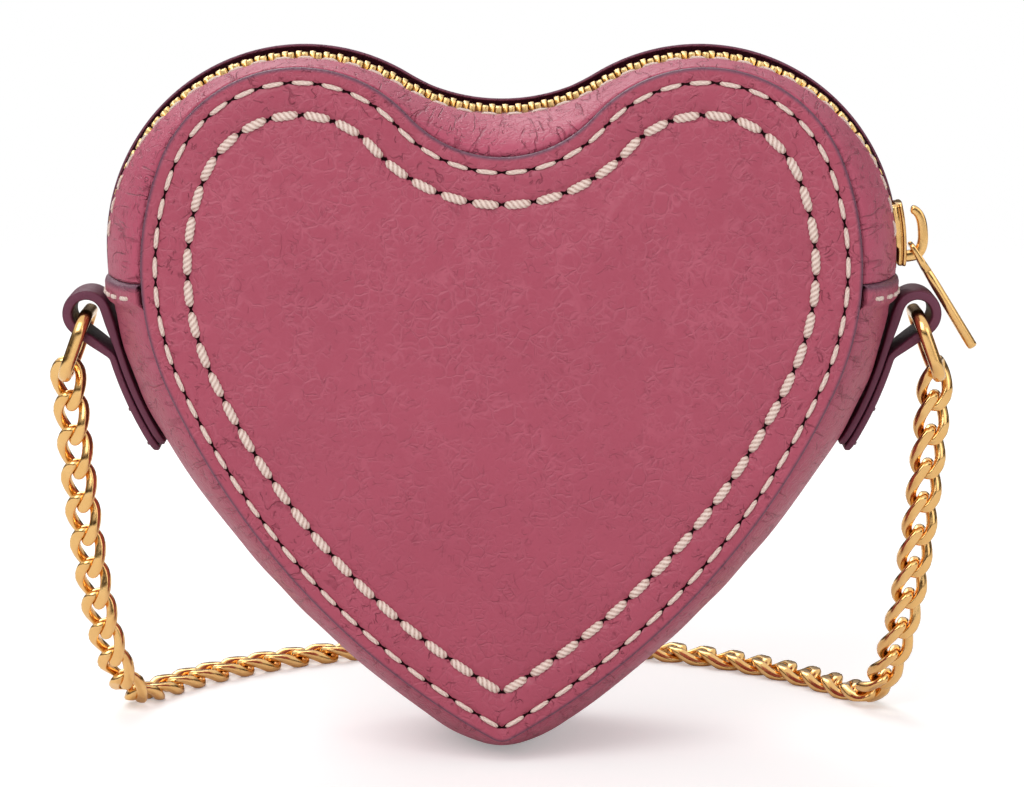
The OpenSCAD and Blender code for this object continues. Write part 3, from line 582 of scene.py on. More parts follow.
def tube(rings: Array, values: dict[str, Array] | None = None, closed: bool = False) -> Shape:
    """Joins closed rings of points into a skin.

    Args:
        rings: Array of rings, points and coordinates in mm.
        values: Values for each point, with the rings' first two axes.
        closed: True where the last ring joins the first; otherwise one polygon closes each end.

    Returns:
        The closed shape.
    """
    rows, columns = rings.shape[:2]
    i, j = np.meshgrid(np.arange(rows if closed else rows - 1), np.arange(columns), indexing="ij")
    down, right = (i + 1) % rows, (j + 1) % columns
    quads = [i * columns + j, i * columns + right, down * columns + right, down * columns + j]
    faces = np.stack(quads, -1).reshape(-1, 4).tolist()
    if not closed:
        faces.append(list(range(columns))[::-1])
        faces.append(list(range((rows - 1) * columns, rows * columns)))
    values = {key: np.asarray(v, float).reshape(rows * columns, -1) for key, v in (values or {}).items()}
    return Shape(rings.reshape(-1, 3), faces, values)


def repeated(shape: Shape, frames: Array, origins: Array) -> Shape:
    """Puts one copy of a shape at each origin, turned by its frame.

    Args:
        shape: The shape in its own frame.
        frames: One matrix for each copy, with the copy's X, Y and Z as its columns.
        origins: One place for each copy.

    Returns:
        All copies as one shape.
    """
    points = np.einsum("mij,kj->mki", frames, shape.points) + origins[:, None, :]
    size = len(shape.points)
    faces = [[i + k * size for i in face] for k in range(len(origins)) for face in shape.faces]
    values = {key: np.tile(value, (len(origins), 1)) for key, value in shape.values.items()}
    return Shape(points.reshape(-1, 3), faces, values)


def frames_of(along: Array, out: Array) -> Array:
    """Turns directions into frames, whose Z is as near to out as a right angle allows.

    Args:
        along: Directions of their X.
        out: Directions that their Z leans towards.

    Returns:
        Matrices with X, Y and Z as their columns.
    """
    along, out = np.broadcast_arrays(along, out)
    x = unit(along)
    y = unit(np.cross(out, x))
    return np.stack([x, y, np.cross(x, y)], -1)


def add_object(name: str, data: bpy.types.ID) -> bpy.types.Object:
    """Adds an object with its data to the scene.

    Args:
        name: The object's name.
        data: Its mesh, lamp or camera.

    Returns:
        The object.
    """
    added = bpy.data.objects.new(name, data)
    bpy.context.scene.collection.objects.link(added)
    return added


def add_piece(name: str, shape: Shape, finish: Finish, node: str, body: str = "bag") -> None:
    """Makes a mesh object of a shape, and ties it to the frame.

    Args:
        name: Name of the new piece.
        shape: Its points in mm, faces and values.
        finish: Its finish.
        node: The CAD node that it stands for.
        body: The body that it rides on.
    """
    mesh = bpy.data.meshes.new(name)
    mesh.from_pydata((shape.points * MM).tolist(), [], shape.faces)
    for key, value in shape.values.items():
        single = value.shape[1] == 1
        layer = mesh.attributes.new(key, "FLOAT" if single else "FLOAT_VECTOR", "POINT")
        layer.data.foreach_set("value" if single else "vector", value.ravel())
    solid = bmesh.new()
    solid.from_mesh(mesh)
    bmesh.ops.remove_doubles(solid, verts=solid.verts, dist=0.0005 * MM)
    bmesh.ops.dissolve_degenerate(solid, edges=solid.edges, dist=0.0002 * MM)
    if solid.calc_volume(signed=True) < 0:
        bmesh.ops.reverse_faces(solid, faces=solid.faces)
    solid.to_mesh(mesh)
    solid.free()
    mesh.shade_smooth()
    mesh.materials.append(material(finish))
    piece = add_object(name, mesh)
    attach(piece, body)
    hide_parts(node)
    LOG.info("%s: %d faces", name, len(mesh.polygons))


# Outlines


def heading_normal(heading: Array) -> Array:
    """Returns the outward normal, as X and Z, of a line that runs at a heading."""
    return np.stack([-np.sin(heading), np.cos(heading)], -1)


class Outline:
    """Half a heart as five tangent arcs, from the notch's middle to the tip."""

    def __init__(self, radii: list[float], turns: list[float], top: float | None = None) -> None:
        """Works out the arcs.

        Args:
            radii: Radii in mm; the side's, which is the fourth, is solved so that the chain closes.
            turns: Turns in degrees, positive where the outline curls up.
            top: Height of the notch's middle; left out, the tip comes to height zero.
        """
        heads = np.radians(np.concatenate([[0.0], np.cumsum(turns)]))
        self.heads, self.ends = heads[:-1], heads[1:]
        self.side = np.sign(turns)
        chords = self.side[:, None] * (heading_normal(self.heads) - heading_normal(self.ends))
        self.radii = np.array(radii, float)
        self.radii[3] = -(self.radii * chords[:, 0])[[0, 1, 2, 4]].sum() / chords[3, 0]
        steps = self.radii[:, None] * chords
        self.top = -steps[:, 1].sum() if top is None else top
        starts = np.vstack([[0.0, 0.0], np.cumsum(steps, 0)[:-1]]) + [0.0, self.top]
        self.centres = starts + (self.side * self.radii)[:, None] * heading_normal(self.heads)

    def lengths(self, inset: float = 0.0) -> Array:
        """Measures the arcs of the outline drawn in; past the tip's radius the two sides meet.

        Args:
            inset: How far it is drawn in.

        Returns:
            The five lengths.
        """
        ends = self.ends.copy()
        sharp = inset >= self.radii[4]
        if sharp:
            ends[3] = -np.pi + np.arcsin(-self.centres[3, 0] / (self.radii[3] - inset))
        spans = np.abs(ends - self.heads) * (self.radii + self.side * inset)
        spans[4] = 0.0 if sharp else spans[4]
        return spans

    def at(self, way: Array, inset: float = 0.0) -> tuple[Array, Array]:
        """Finds places along the outline drawn in.

        Args:
            way: Ways from the notch's middle.
            inset: How far it is drawn in.

        Returns:
            The points and the headings there.
        """
        spans = self.lengths(inset)
        starts = np.concatenate([[0.0], np.cumsum(spans)])
        last = 4 if spans[4] > 0 else 3
        k = np.clip(np.searchsorted(starts, way, side="right") - 1, 0, last)
        heading = self.heads[k] + self.side[k] * (way - starts[k]) / (self.radii + self.side * inset)[k]
        out = (-inset - self.side[k] * self.radii[k])[:, None] * heading_normal(heading)
        return self.centres[k] + out, heading

    def ring(self, inset: float, half_count: int) -> Array:
        """Walks round the whole heart drawn in.

        Args:
            inset: How far it is drawn in.
            half_count: How many steps each half has, all of one length.

        Returns:
            The points, clockwise from the notch's middle.
        """
        right = self.at(np.linspace(0, self.lengths(inset).sum(), half_count + 1), inset)[0]
        right[[0, -1], 0] = 0.0
        return np.vstack([right, right[-2:0:-1] * [-1, 1]])

    def reach(self, points: Array, normals: Array) -> Array:
        """Measures from points along their normals to the nearest crossing of this outline.

        Args:
            points: The points.
            normals: Their normals, at length one.

        Returns:
            The ways, which are infinite where nothing is crossed.
        """
        slack = 1e-6
        best = np.full(len(points), np.inf)
        for centre, r, side, head, end in zip(self.centres, self.radii, self.side, self.heads, self.ends):
            d = points - centre
            b = (d * normals).sum(1)
            q = b * b - (d * d).sum(1) + r * r
            way = -b - side * np.sqrt(np.maximum(q, 0))
            x = d + way[:, None] * normals
            heading = np.arctan2(-side * x[:, 1], -side * x[:, 0]) - np.pi / 2
            heading = np.where(heading < -np.pi - slack, heading + 2 * np.pi, heading)
            low, high = min(head, end) - slack, max(head, end) + slack
            hit = (q >= 0) & (heading >= low) & (heading <= high) & (np.abs(way) < np.abs(best))
            best = np.where(hit, way, best)
        return best


CREST = Outline([35.2, 34.7, 64.5, 0.0, 20.0], [30.3, -120.3, -31.8, -23.2, -35.0])
PANEL = Outline([21.6, 25.8, 52.0, 0.0, 3.3], [47.7, -116.5, -45.4, -36.2, -29.6], CREST.top - 6.7)
LOBE, SHOULDER = CREST.centres[1], CREST.centres[2]
SHOULDER_R = CREST.radii[2]
ZIP_REACH = CREST.lengths()[:2].sum()


class GussetSurface:
    """The leather round the bag's edge, domed from the panel's outline out to the zip line."""

    edge_y = 21.5
    power = 0.75
    before_side = 20.0
    over_lobe = 8.0

    def __init__(self) -> None:
        """Lays dense stations along half the panel's outline."""
        self.length = PANEL.lengths().sum()
        self.way = np.linspace(0, self.length, 2400)
        self.points, heading = PANEL.at(self.way)
        self.normals = heading_normal(heading)
        self.swell = CREST.reach(self.points, self.normals)

    def dome(self, y: Array) -> Array:
        """Returns the share of the swell reached at a place across the depth."""
        return np.maximum(0, 1 - (y / self.edge_y) ** 2) ** self.power

    def fold_way(self, drop: float) -> float:
        """Finds where the panel's outline passes a height on the bag's shoulder.

        Args:
            drop: How far the height is below the zip line's lobe centres.

        Returns:
            The way from the notch's middle.
        """
        past_lobe = self.way > PANEL.lengths()[:2].sum() - self.before_side
        part = past_lobe & (self.points[:, 1] < PANEL.centres[1][1] + self.over_lobe)
        return float(np.interp(drop - LOBE[1], -self.points[part, 1], self.way[part]))

    def at(self, way: Array, y: Array, offset: Array) -> Array:
        """Finds points of the surface.

        Args:
            way: Way from the notch's middle, negative on the left half.
            y: Place across the depth.
            offset: Height over the surface, along the panel's outward normal.

        Returns:
            Points in mm, with the arguments' broadcast shape.
        """
        way, y, offset = np.broadcast_arrays(way, y, offset)
        near = [np.interp(np.abs(way), self.way, v) for v in (*self.points.T, *self.normals.T, self.swell)]
        rise = near[4] * self.dome(y) + offset
        return vec(np.sign(way) * (near[0] + near[2] * rise), y, near[1] + near[3] * rise)


SURFACE = GussetSurface()


# Stitches


@dataclass(frozen=True)
class Stitch:
    """A stitch of twisted thread, with its sizes in mm and a count of how finely it is drawn."""

    length: float
    width: float
    height: float
    turn_pitch: float
    sunk: float = 0.0
    fine: int = 2

    def shape(self) -> Shape:
        """Draws the stitch along X, its top along Z.

        It is a capsule of three twisted strands: its radius falls to nothing at the blunt ends
        as a fifth power curve, dips between strands by the cosine of three halves of the turned
        angle, and its middle line bows down towards the needle holes.

        Returns:
            The stitch.
        """
        s = np.sin(np.linspace(-np.pi / 2, np.pi / 2, 5 * self.fine + 1) * 0.995)[:, None]
        angle = np.linspace(0, 2 * np.pi, 3 + 3 * self.fine, endpoint=False)[None, :]
        taper = (1 - np.abs(s) ** 5.0) ** 0.55 + 0.02
        strand = np.abs(np.cos(1.5 * (angle - s * np.pi * self.length / self.turn_pitch)))
        radius = taper * (0.74 + 0.26 * strand)
        bow = self.sunk * self.height + 0.45 * self.height * np.abs(s) ** 3
        y = radius * np.cos(angle) * self.width / 2
        z = radius * np.sin(angle) * self.height / 2 - bow
        # Painted shade: darker in the grooves between strands and towards the blunt ends.
        lit = strand**0.8 * (0.5 + 0.5 * np.minimum(taper, 1))
        return tube(vec(s * self.length / 2, y, z), {"strand": lit})


@dataclass(frozen=True)
class SeamRow:
    """A row of stitches on the panels: its way in from the edge, its pitch and its needle holes."""

    inset: float
    pitch: float
    hole_l: float
    hole_w: float
    stitch: Stitch

    def count(self) -> int:
        """Returns the number of stitches on one half."""
        return round(PANEL.lengths(self.inset).sum() / self.pitch)


FINE_ROW = SeamRow(2.6, 5.2, 1.0, 0.36, Stitch(3.75, 0.85, 0.6, 2.4, 0.1, 2))
ROPE_ROW = SeamRow(8.2, 5.5, 0.85, 0.5, Stitch(4.65, 1.6, 1.2, 2.9, 0.12, 4))


@dataclass
class PanelStitches:
    """Both rows of stitches on both panels."""

    rise: float = 0.25
    face_y: float = 23.0

    def build(self, thread: Thread) -> None:
        """Adds one piece for each row and panel.

        Args:
            thread: The stitches' finish.
        """
        for side in Side:
            for kind, row in (("seam", FINE_ROW), ("rope", ROPE_ROW)):
                node = f"{side.word}_{kind}_thread"
                add_piece(node + "_twisted", self.row(side, row), thread, node)

    def row(self, side: Side, row: SeamRow) -> Shape:
        """Lays the stitches of one row, on both halves of one panel.

        Args:
            side: The panel's side.
            row: The row.

        Returns:
            The stitches.
        """
        count = row.count()
        way = (np.arange(count) + 0.5) / count * PANEL.lengths(row.inset).sum()
        points, heading = PANEL.at(way, row.inset)
        along = vec(np.cos(heading), 0.0, np.sin(heading))
        places = vec(points[:, 0], side.value * (self.face_y + self.rise), points[:, 1])
        frames = frames_of(np.vstack([along, -along * FLIP]), side.value * ACROSS)
        return repeated(row.stitch.shape(), frames, np.vstack([places, places * FLIP]))


# Leather


@dataclass
class Panel:
    """A heart of leather with a raw painted edge, pressed in along its two rows of stitches."""

    side: Side
    back_y: float = 21.5
    thickness: float = 1.5
    half_samples: int = 444
    centre_z: float = 70.0
    crown: float = 1.7
    crown_l: float = 13.0
    pillow: float = 0.3
    press: float = 0.16
    hole_press: float = 0.32
    hole_l: float = 0.7
    depth: float = 38.0

    def build(self, leather: Leather) -> None:
        """Adds the panel."""
        node = f"{self.side.word}_panel"
        add_piece(node + "_hide", self.shape(), leather, node)

    def shape(self) -> Shape:
        """Builds the panel: a flat inner face, the round edge, then rings that shrink to a point.

        Returns:
            The panel, with the values that the leather reads.
        """
        inner_inset = 20.0
        rings = [(self.ring(11.0, 0.0, share), inner_inset, 0.0) for share in (0.0, 0.5, 1.0)]
        rings.append((self.ring(3.0, 0.0), inner_inset, 0.0))
        edge = [(0.35, 0, 1), (0.1, 0.04, 1), (0, 0.25, 1), (0, 1, 1)]
        edge += [(0.06, 1.22, 1), (0.2, 1.4, 1), (0.4, 1.48, 0.6)]
        for inset, high, paint in edge:
            rings.append((self.ring(inset, high), inset, paint))
        bands = ((0.7, 2.0, 0.4), (2.0, 3.3, 0.2), (3.6, 7.0, 0.5), (7.0, 9.5, 0.25), (9.8, 12.1, 0.55))
        for inset in np.concatenate([np.arange(*band) for band in bands]):
            rings.append((self.ring(inset, self.level(inset)), inset, 0.0))
        last = rings[-1][1]
        for share in np.linspace(1, 0, 26)[1:]:
            inset = last + (1 - share) * self.depth
            rings.append((self.ring(last, self.level(inset), share), inset, 0.0))
        grid, insets, cuts = (np.array(part) for part in zip(*rings))
        fine, rope = self.counts()
        place = vec(fine, insets[:, None], rope)
        return tube(grid, {"place": place, "cut": vec(cuts[:, None], 0 * fine, 0.0)})

    def ring(self, inset: float, high: Array | float, share: float = 1.0) -> Array:
        """Lays one ring round the panel.

        Args:
            inset: Its way in from the edge.
            high: Its height over the panel's back.
            share: How far it is shrunk towards the panel's middle.

        Returns:
            Its points.
        """
        x, z = PANEL.ring(inset, self.half_samples).T
        y = self.side.value * (self.back_y + high)
        return vec(x * share, y, self.centre_z + (z - self.centre_z) * share)

    def counts(self) -> tuple[Array, Array]:
        """Counts the stitches of both rows round a ring, rising on one half, falling on the other.

        Returns:
            The counts of the fine row and of the rope row at each point.
        """
        half = np.linspace(0, 1, self.half_samples + 1)
        share = np.concatenate([half, half[-2:0:-1]])
        return share * FINE_ROW.count(), share * ROPE_ROW.count()

    def level(self, inset: float) -> Array:
        """Works out the face's height over the panel's back.

        The leather is pressed down along both rows, more at the needle holes, swells a little
        between the rows, and rises to a soft crown over the middle of the bag.

        Args:
            inset: The ring's way in from the edge.

        Returns:
            The height at each point of the ring.
        """
        level = np.full(2 * self.half_samples, self.thickness)
        for row, count in zip((FINE_ROW, ROPE_ROW), self.counts()):
            width = row.stitch.width
            hole = np.exp(-((np.abs(count - np.round(count)) * row.pitch / self.hole_l) ** 2))
            press = np.exp(-(((inset - row.inset) / (width * 0.62)) ** 2))
            level -= press * (self.press + self.hole_press * hole) * width**0.5
        past_fine, past_rope = inset - FINE_ROW.inset, inset - ROPE_ROW.inset
        if past_fine > 0 > past_rope:
            level += self.pillow * math.sin(math.pi * past_fine / (past_fine - past_rope))
        if past_rope > 0:
            level += self.crown * (1 - math.exp(-past_rope / self.crown_l))
        return level


@dataclass
class BottomGusset:
    """The strip from one shoulder round the tip to the other, its two ends folded over."""

    thickness: float = 1.1
    fold_l: float = 3.2
    lift: float = 1.2
    fade_l: float = 1.4
    ripple: float = 0.12
    ripple_l: float = 2.3
    drift_l: float = 7.1
    plain_l: float = 6.0
    paint_l: float = 1.4
    samples: int = 460
    rows: int = 44

    def build(self, leather: Leather) -> None:
        """Adds the gusset."""
        add_piece("bottom_gusset_hide", self.shape(), leather, "bottom_gusset")

    def shape(self) -> Shape:
        """Builds the gusset: loops out along its outer skin, round the fold, and back inside.

        The way is measured from the tip, so it runs from one fold to the other through zero.
        The outer skin has long ripples, a sine whose phase is another sine.

        Returns:
            The gusset, with its run and its painted ends.
        """
        half = SURFACE.length - SURFACE.fold_way(FOLD_DROP)
        outer_way = np.linspace(-half, half, self.samples)
        from_end = half - np.abs(outer_way)
        lift = self.lift * smooth((self.fold_l + self.fade_l - from_end) / self.fade_l)
        tall = (self.lift + self.thickness) / 2
        rounding = tall * (1 - quarter_edge(from_end / tall))
        inner = -self.thickness + rounding * (from_end < tall)
        way = np.concatenate([outer_way, outer_way[::-1]])
        offset = np.concatenate([lift - rounding, inner[::-1]])
        y = SURFACE.edge_y * np.sin(np.linspace(-np.pi / 2, np.pi / 2, self.rows))[:, None]
        inside_y = SURFACE.edge_y - self.thickness
        is_outer = np.arange(len(way)) < self.samples
        rippled = is_outer & (np.abs(way) < half - self.plain_l)
        drift = 1.3 * np.sin(way / self.drift_l)
        ripple = self.ripple * np.sin(way / self.ripple_l + drift) * np.cos(y / 9)
        from_notch = np.sign(way) * (SURFACE.length - np.abs(way))
        across = np.where(is_outer, y, np.clip(y, -inside_y, inside_y))
        grid = pinched(SURFACE.at(from_notch, across, offset + ripple * rippled))
        paint = np.clip(self.paint_l - from_end, 0, 1)
        cut = vec(np.concatenate([paint, paint[::-1]]), 0 * grid[..., 0], 0.0)
        return tube(grid, {"run": vec(way, grid[..., 1], 0.0), "cut": cut})


@dataclass
class ZipStrip:
    """A leather strip beside the zip, over the top of the bag from fold to fold."""

    side: Side
    rise: float
    side_rise: float = 0.0
    turn_way: float = 62.0
    turn_l: float = 16.0
    thickness: float = 1.1
    lip_t: float = 0.6
    paint_l: float = 0.56
    paint_fade: float = 0.35
    butt_gap: float = 0.1
    samples: int = 420
    rows: int = 26

    def build(self, leather: Leather) -> None:
        """Adds the strip."""
        node = f"zip_strip_{self.side.word}"
        add_piece(node + "_hide", self.shape(), leather, node)

    def rise_at(self, way: Array) -> Array:
        """Returns the lip's rise, which grows down both sides as a smooth step of the way."""
        return self.rise + self.side_rise * smooth((np.abs(way) - self.turn_way) / self.turn_l)

    def lip_share(self, y: Array) -> Array:
        """Returns how much of the lip's rise is reached, a sixth power towards the zip."""
        return np.maximum(0, 1 - (y - LIP_Y) / (SURFACE.edge_y - LIP_Y)) ** 6

    def shape(self) -> Shape:
        """Builds the strip: loops out over its top, round the lip, and back under it.

        Returns:
            The strip, with its run, its painted lip and its flesh side, painted dark as shade.
        """
        end = SURFACE.fold_way(FOLD_DROP - self.butt_gap)
        way = np.linspace(-end, end, self.samples)
        half = self.lip_t / 2
        y = SURFACE.edge_y + (LIP_Y + half - SURFACE.edge_y) * np.linspace(0, 1, self.rows) ** 0.8
        share = self.lip_share(y)
        rise = self.rise_at(way)[:, None]
        top = (self.lip_t - self.thickness + rise) * share
        under = -self.thickness + rise * share
        nose = np.linspace(np.pi / 2, 0, 5)[1:-1]
        nose_y, bulge = y[-1] - half * np.cos(nose), half * np.sin(nose)
        middle = (top[:, -1:] + under[:, -1:]) / 2
        y_under = np.minimum(y, SURFACE.edge_y - self.thickness)
        y_loop = np.concatenate([y, nose_y, nose_y[::-1], y_under[::-1]])
        offset = np.concatenate([top, middle + bulge, middle - bulge[::-1], under[:, ::-1]], 1)
        grid = pinched(SURFACE.at(way[:, None], self.side.value * y_loop, offset))
        count = len(nose)
        lip_paint = 0.9 * np.clip((self.paint_l - (y - y[-1])) / self.paint_fade, 0, 1)
        paint = np.concatenate([lip_paint, np.ones(count), np.zeros(count + self.rows)])
        # The under side, the flesh side, is painted dark as shade.
        shaded_flesh = np.arange(len(y_loop)) >= self.rows + count
        values = {
            "run": vec(np.pad(way, 1, "edge")[:, None], y_loop, 0.0),
            "cut": vec(paint, shaded_flesh, 0 * grid[..., 0]),
        }
        return tube(grid, values)


@dataclass
class SideStitches:
    """The stitches on the zip strips and across the folded ends."""

    strip_y: float = 6.3
    pitch: float = 4.3
    fold_inset: float = 2.4
    fold_count: int = 10
    fold_reach: float = 21.0
    seat: float = 0.12
    middle_z: float = 60.0
    stitch: Stitch = Stitch(3.1, 0.85, 0.62, 2.2)

    def build(self, thread: Thread, strips: list[ZipStrip], gusset: BottomGusset) -> None:
        """Adds the stitches, seated on the leather that they go through.

        Args:
            thread: The stitches' finish.
            strips: The two zip strips.
            gusset: The gusset with the folded ends.
        """
        rows = self.strip_row(strips[0]).joined(self.strip_row(strips[1]))
        for node, shape in (("zip_strip_threads", rows), ("fold_threads", self.fold_rows(gusset))):
            add_piece(node + "_twisted", shape, thread, node)

    def seated(self, way: Array, y: Array, offset: Array, across: bool) -> Shape:
        """Lays stitches on the surface, upright to it as two short steps show it.

        Args:
            way: Their ways from the notch's middle.
            y: Their places across the depth.
            offset: Their heights over the surface.
            across: Whether they lie across the depth, and not along the way.

        Returns:
            The stitches.
        """
        step = 0.3
        point = SURFACE.at(way, y, offset)
        by_way = SURFACE.at(way + step, y, offset) - SURFACE.at(way - step, y, offset)
        by_y = SURFACE.at(way, y + step, offset) - SURFACE.at(way, y - step, offset)
        out = np.cross(by_way, by_y)
        out *= np.sign((out * (point - [0, 0, self.middle_z])).sum(-1, keepdims=True))
        frames = frames_of(by_y if across else by_way, out)
        return repeated(self.stitch.shape(), frames, point + frames[..., 2] * self.seat)

    def strip_row(self, strip: ZipStrip) -> Shape:
        """Lays the row beside one lip, evenly spaced along the zip line.

        Args:
            strip: The strip that it goes through.

        Returns:
            The stitches.
        """
        reach = ZIP_REACH - self.pitch / 2
        count = round(2 * reach / self.pitch)
        way = (np.arange(count) + 0.5 - count / 2) * 2 * reach / count
        crest = SURFACE.points + SURFACE.normals * SURFACE.swell[:, None]
        under = np.interp(np.abs(way), ways(crest), SURFACE.way)
        lip = strip.lip_t - strip.thickness + strip.rise_at(under)
        y = np.full(count, strip.side.value * self.strip_y)
        return self.seated(np.sign(way) * under, y, lip * strip.lip_share(self.strip_y), across=False)

    def fold_rows(self, gusset: BottomGusset) -> Shape:
        """Lays the rows across both folded ends.

        Args:
            gusset: The gusset that they go through.

        Returns:
            The stitches.
        """
        way = SURFACE.fold_way(FOLD_DROP + self.fold_inset)
        y = self.fold_reach * (2 * (np.arange(self.fold_count) + 0.5) / self.fold_count - 1)
        both = np.repeat([way, -way], self.fold_count)
        return self.seated(both, np.tile(y, 2), np.full(len(both), gusset.lift), across=True)


# Zip


@dataclass
class Zip:
    """The tapes, the teeth and the stops."""

    pitch: float = 2.4
    tooth_middle: float = 0.95
    tape_lift: float = 0.5
    jaw_y: float = 3.15
    tape_depth: float = 1.25
    tape_t: float = 0.4
    tape_reach: float = 9.0
    tape_edge: float = 1.3
    bead: float = 0.3
    stop_l: float = 2.4
    stop_y: float = 1.48
    stop_out: float = 0.18

    def build(self, metal: Metal, tape: Woven) -> None:
        """Adds the tapes, both rows of teeth and the stops.

        Args:
            metal: The teeth's and the stops' finish.
            tape: The tapes' finish.
        """
        for side in Side:
            tape_node, teeth_node = f"zip_tape_{side.word}", f"zip_teeth_{side.word}"
            add_piece(tape_node + "_weave", self.tape(side), tape, tape_node)
            add_piece(teeth_node + "_cast", self.teeth(side), metal, teeth_node)
        add_piece("zip_end_stops_pressed", self.stops(), metal, "zip_end_stops")

    def tape(self, side: Side) -> Shape:
        """Builds a tape, raised towards the teeth, with a rounded bead along its edge.

        Args:
            side: The tape's side.

        Returns:
            The tape.
        """
        end = SURFACE.fold_way(FOLD_DROP - 0.1)
        way = np.linspace(-end, end, 260)
        y = np.linspace(self.tape_reach, self.tape_edge + self.bead, 13)
        half = self.tape_t / 2
        turn = np.linspace(np.pi / 2, -np.pi / 2, 7)[1:-1]
        y_loop = np.concatenate([y, y[-1] - self.bead * np.cos(turn), y[::-1]])
        lift = self.tape_lift * np.clip((LIP_Y - y_loop) / (LIP_Y - self.jaw_y), 0, 1)
        skin = np.concatenate([np.full(len(y), half), half * 1.3 * np.sin(turn), np.full(len(y), -half)])
        grid = SURFACE.at(way[:, None], side.value * y_loop, lift + skin - self.tape_depth - half)
        return tube(pinched(grid))

    def on_crest(self, way: Array, out: float) -> tuple[Array, Array]:
        """Finds places on the zip line.

        Args:
            way: Signed ways from the notch's middle.
            out: How far outside the line they are.

        Returns:
            The places, and frames with X along the line and Z outwards.
        """
        points, heading = CREST.at(np.abs(way), -out)
        normal = heading_normal(heading)
        sign = np.sign(way)
        along = vec(np.cos(heading), 0.0, sign * np.sin(heading))
        frames = frames_of(along, vec(sign * normal[:, 0], 0.0, normal[:, 1]))
        return vec(sign * points[:, 0], 0.0, points[:, 1]), frames

    def tooth(self, side: Side) -> Shape:
        """Builds one cast tooth: rounded blocks lofted from the jaws to the meshing head.

        Args:
            side: The row's side.

        Returns:
            The tooth, with its head towards the other side.
        """
        steps = np.array([
            [-2.9, 0.46, 1.3], [-2.82, 0.54, 1.38], [-2.6, 0.56, 1.4], [-1.1, 0.56, 1.4],
            [-0.95, 0.5, 1.36], [-0.2, 0.48, 1.32], [0.35, 0.46, 1.28], [0.45, 0.4, 1.18],
        ])
        reach, half_l, half_h = steps.T[..., None]
        corner = superellipse(1.0, 1.0, 8.0, 16)
        return tube(vec(corner[:, 0] * half_l, -side.value * reach, corner[:, 1] * half_h))

    def teeth(self, side: Side) -> Shape:
        """Lays one side's row of teeth, half a pitch out of step with the other side's.

        Args:
            side: The row's side.

        Returns:
            The teeth.
        """
        count = 2 * int(ZIP_REACH // self.pitch)
        share = 0.25 if side is Side.BACK else 0.75
        way = (np.arange(count) + share - count / 2) * self.pitch
        places, frames = self.on_crest(way, -self.tooth_middle)
        return repeated(self.tooth(side), frames, places)

    def stops(self) -> Shape:
        """Builds the two stops at the closed end and the wide one at the other end.

        Returns:
            All three.
        """
        end = ZIP_REACH + self.stop_l
        places, frames = self.on_crest(np.array([end, -end]), -self.stop_out)
        small, wide = (self.block(half_w) for half_w in (1.42, 2.9))
        pair = [repeated(small, frames[:1], places[:1] + side * self.stop_y * ACROSS) for side in (-1, 1)]
        return pair[0].joined(pair[1]).joined(repeated(wide, frames[1:], places[1:]))

    def block(self, half_w: float) -> Shape:
        """Builds a pressed block with rounded edges, swept along X.

        Args:
            half_w: Half its width.

        Returns:
            The block.
        """
        share = np.array([-1, -0.94, -0.75, 0.75, 0.94, 1])[:, None]
        grow = np.array([0.75, 0.93, 1, 1, 0.93, 0.75])[:, None]
        section = superellipse(half_w, 0.52, 5.0, 20)
        return tube(vec(share * self.stop_l / 2, section[:, 0] * grow, section[:, 1] * grow))


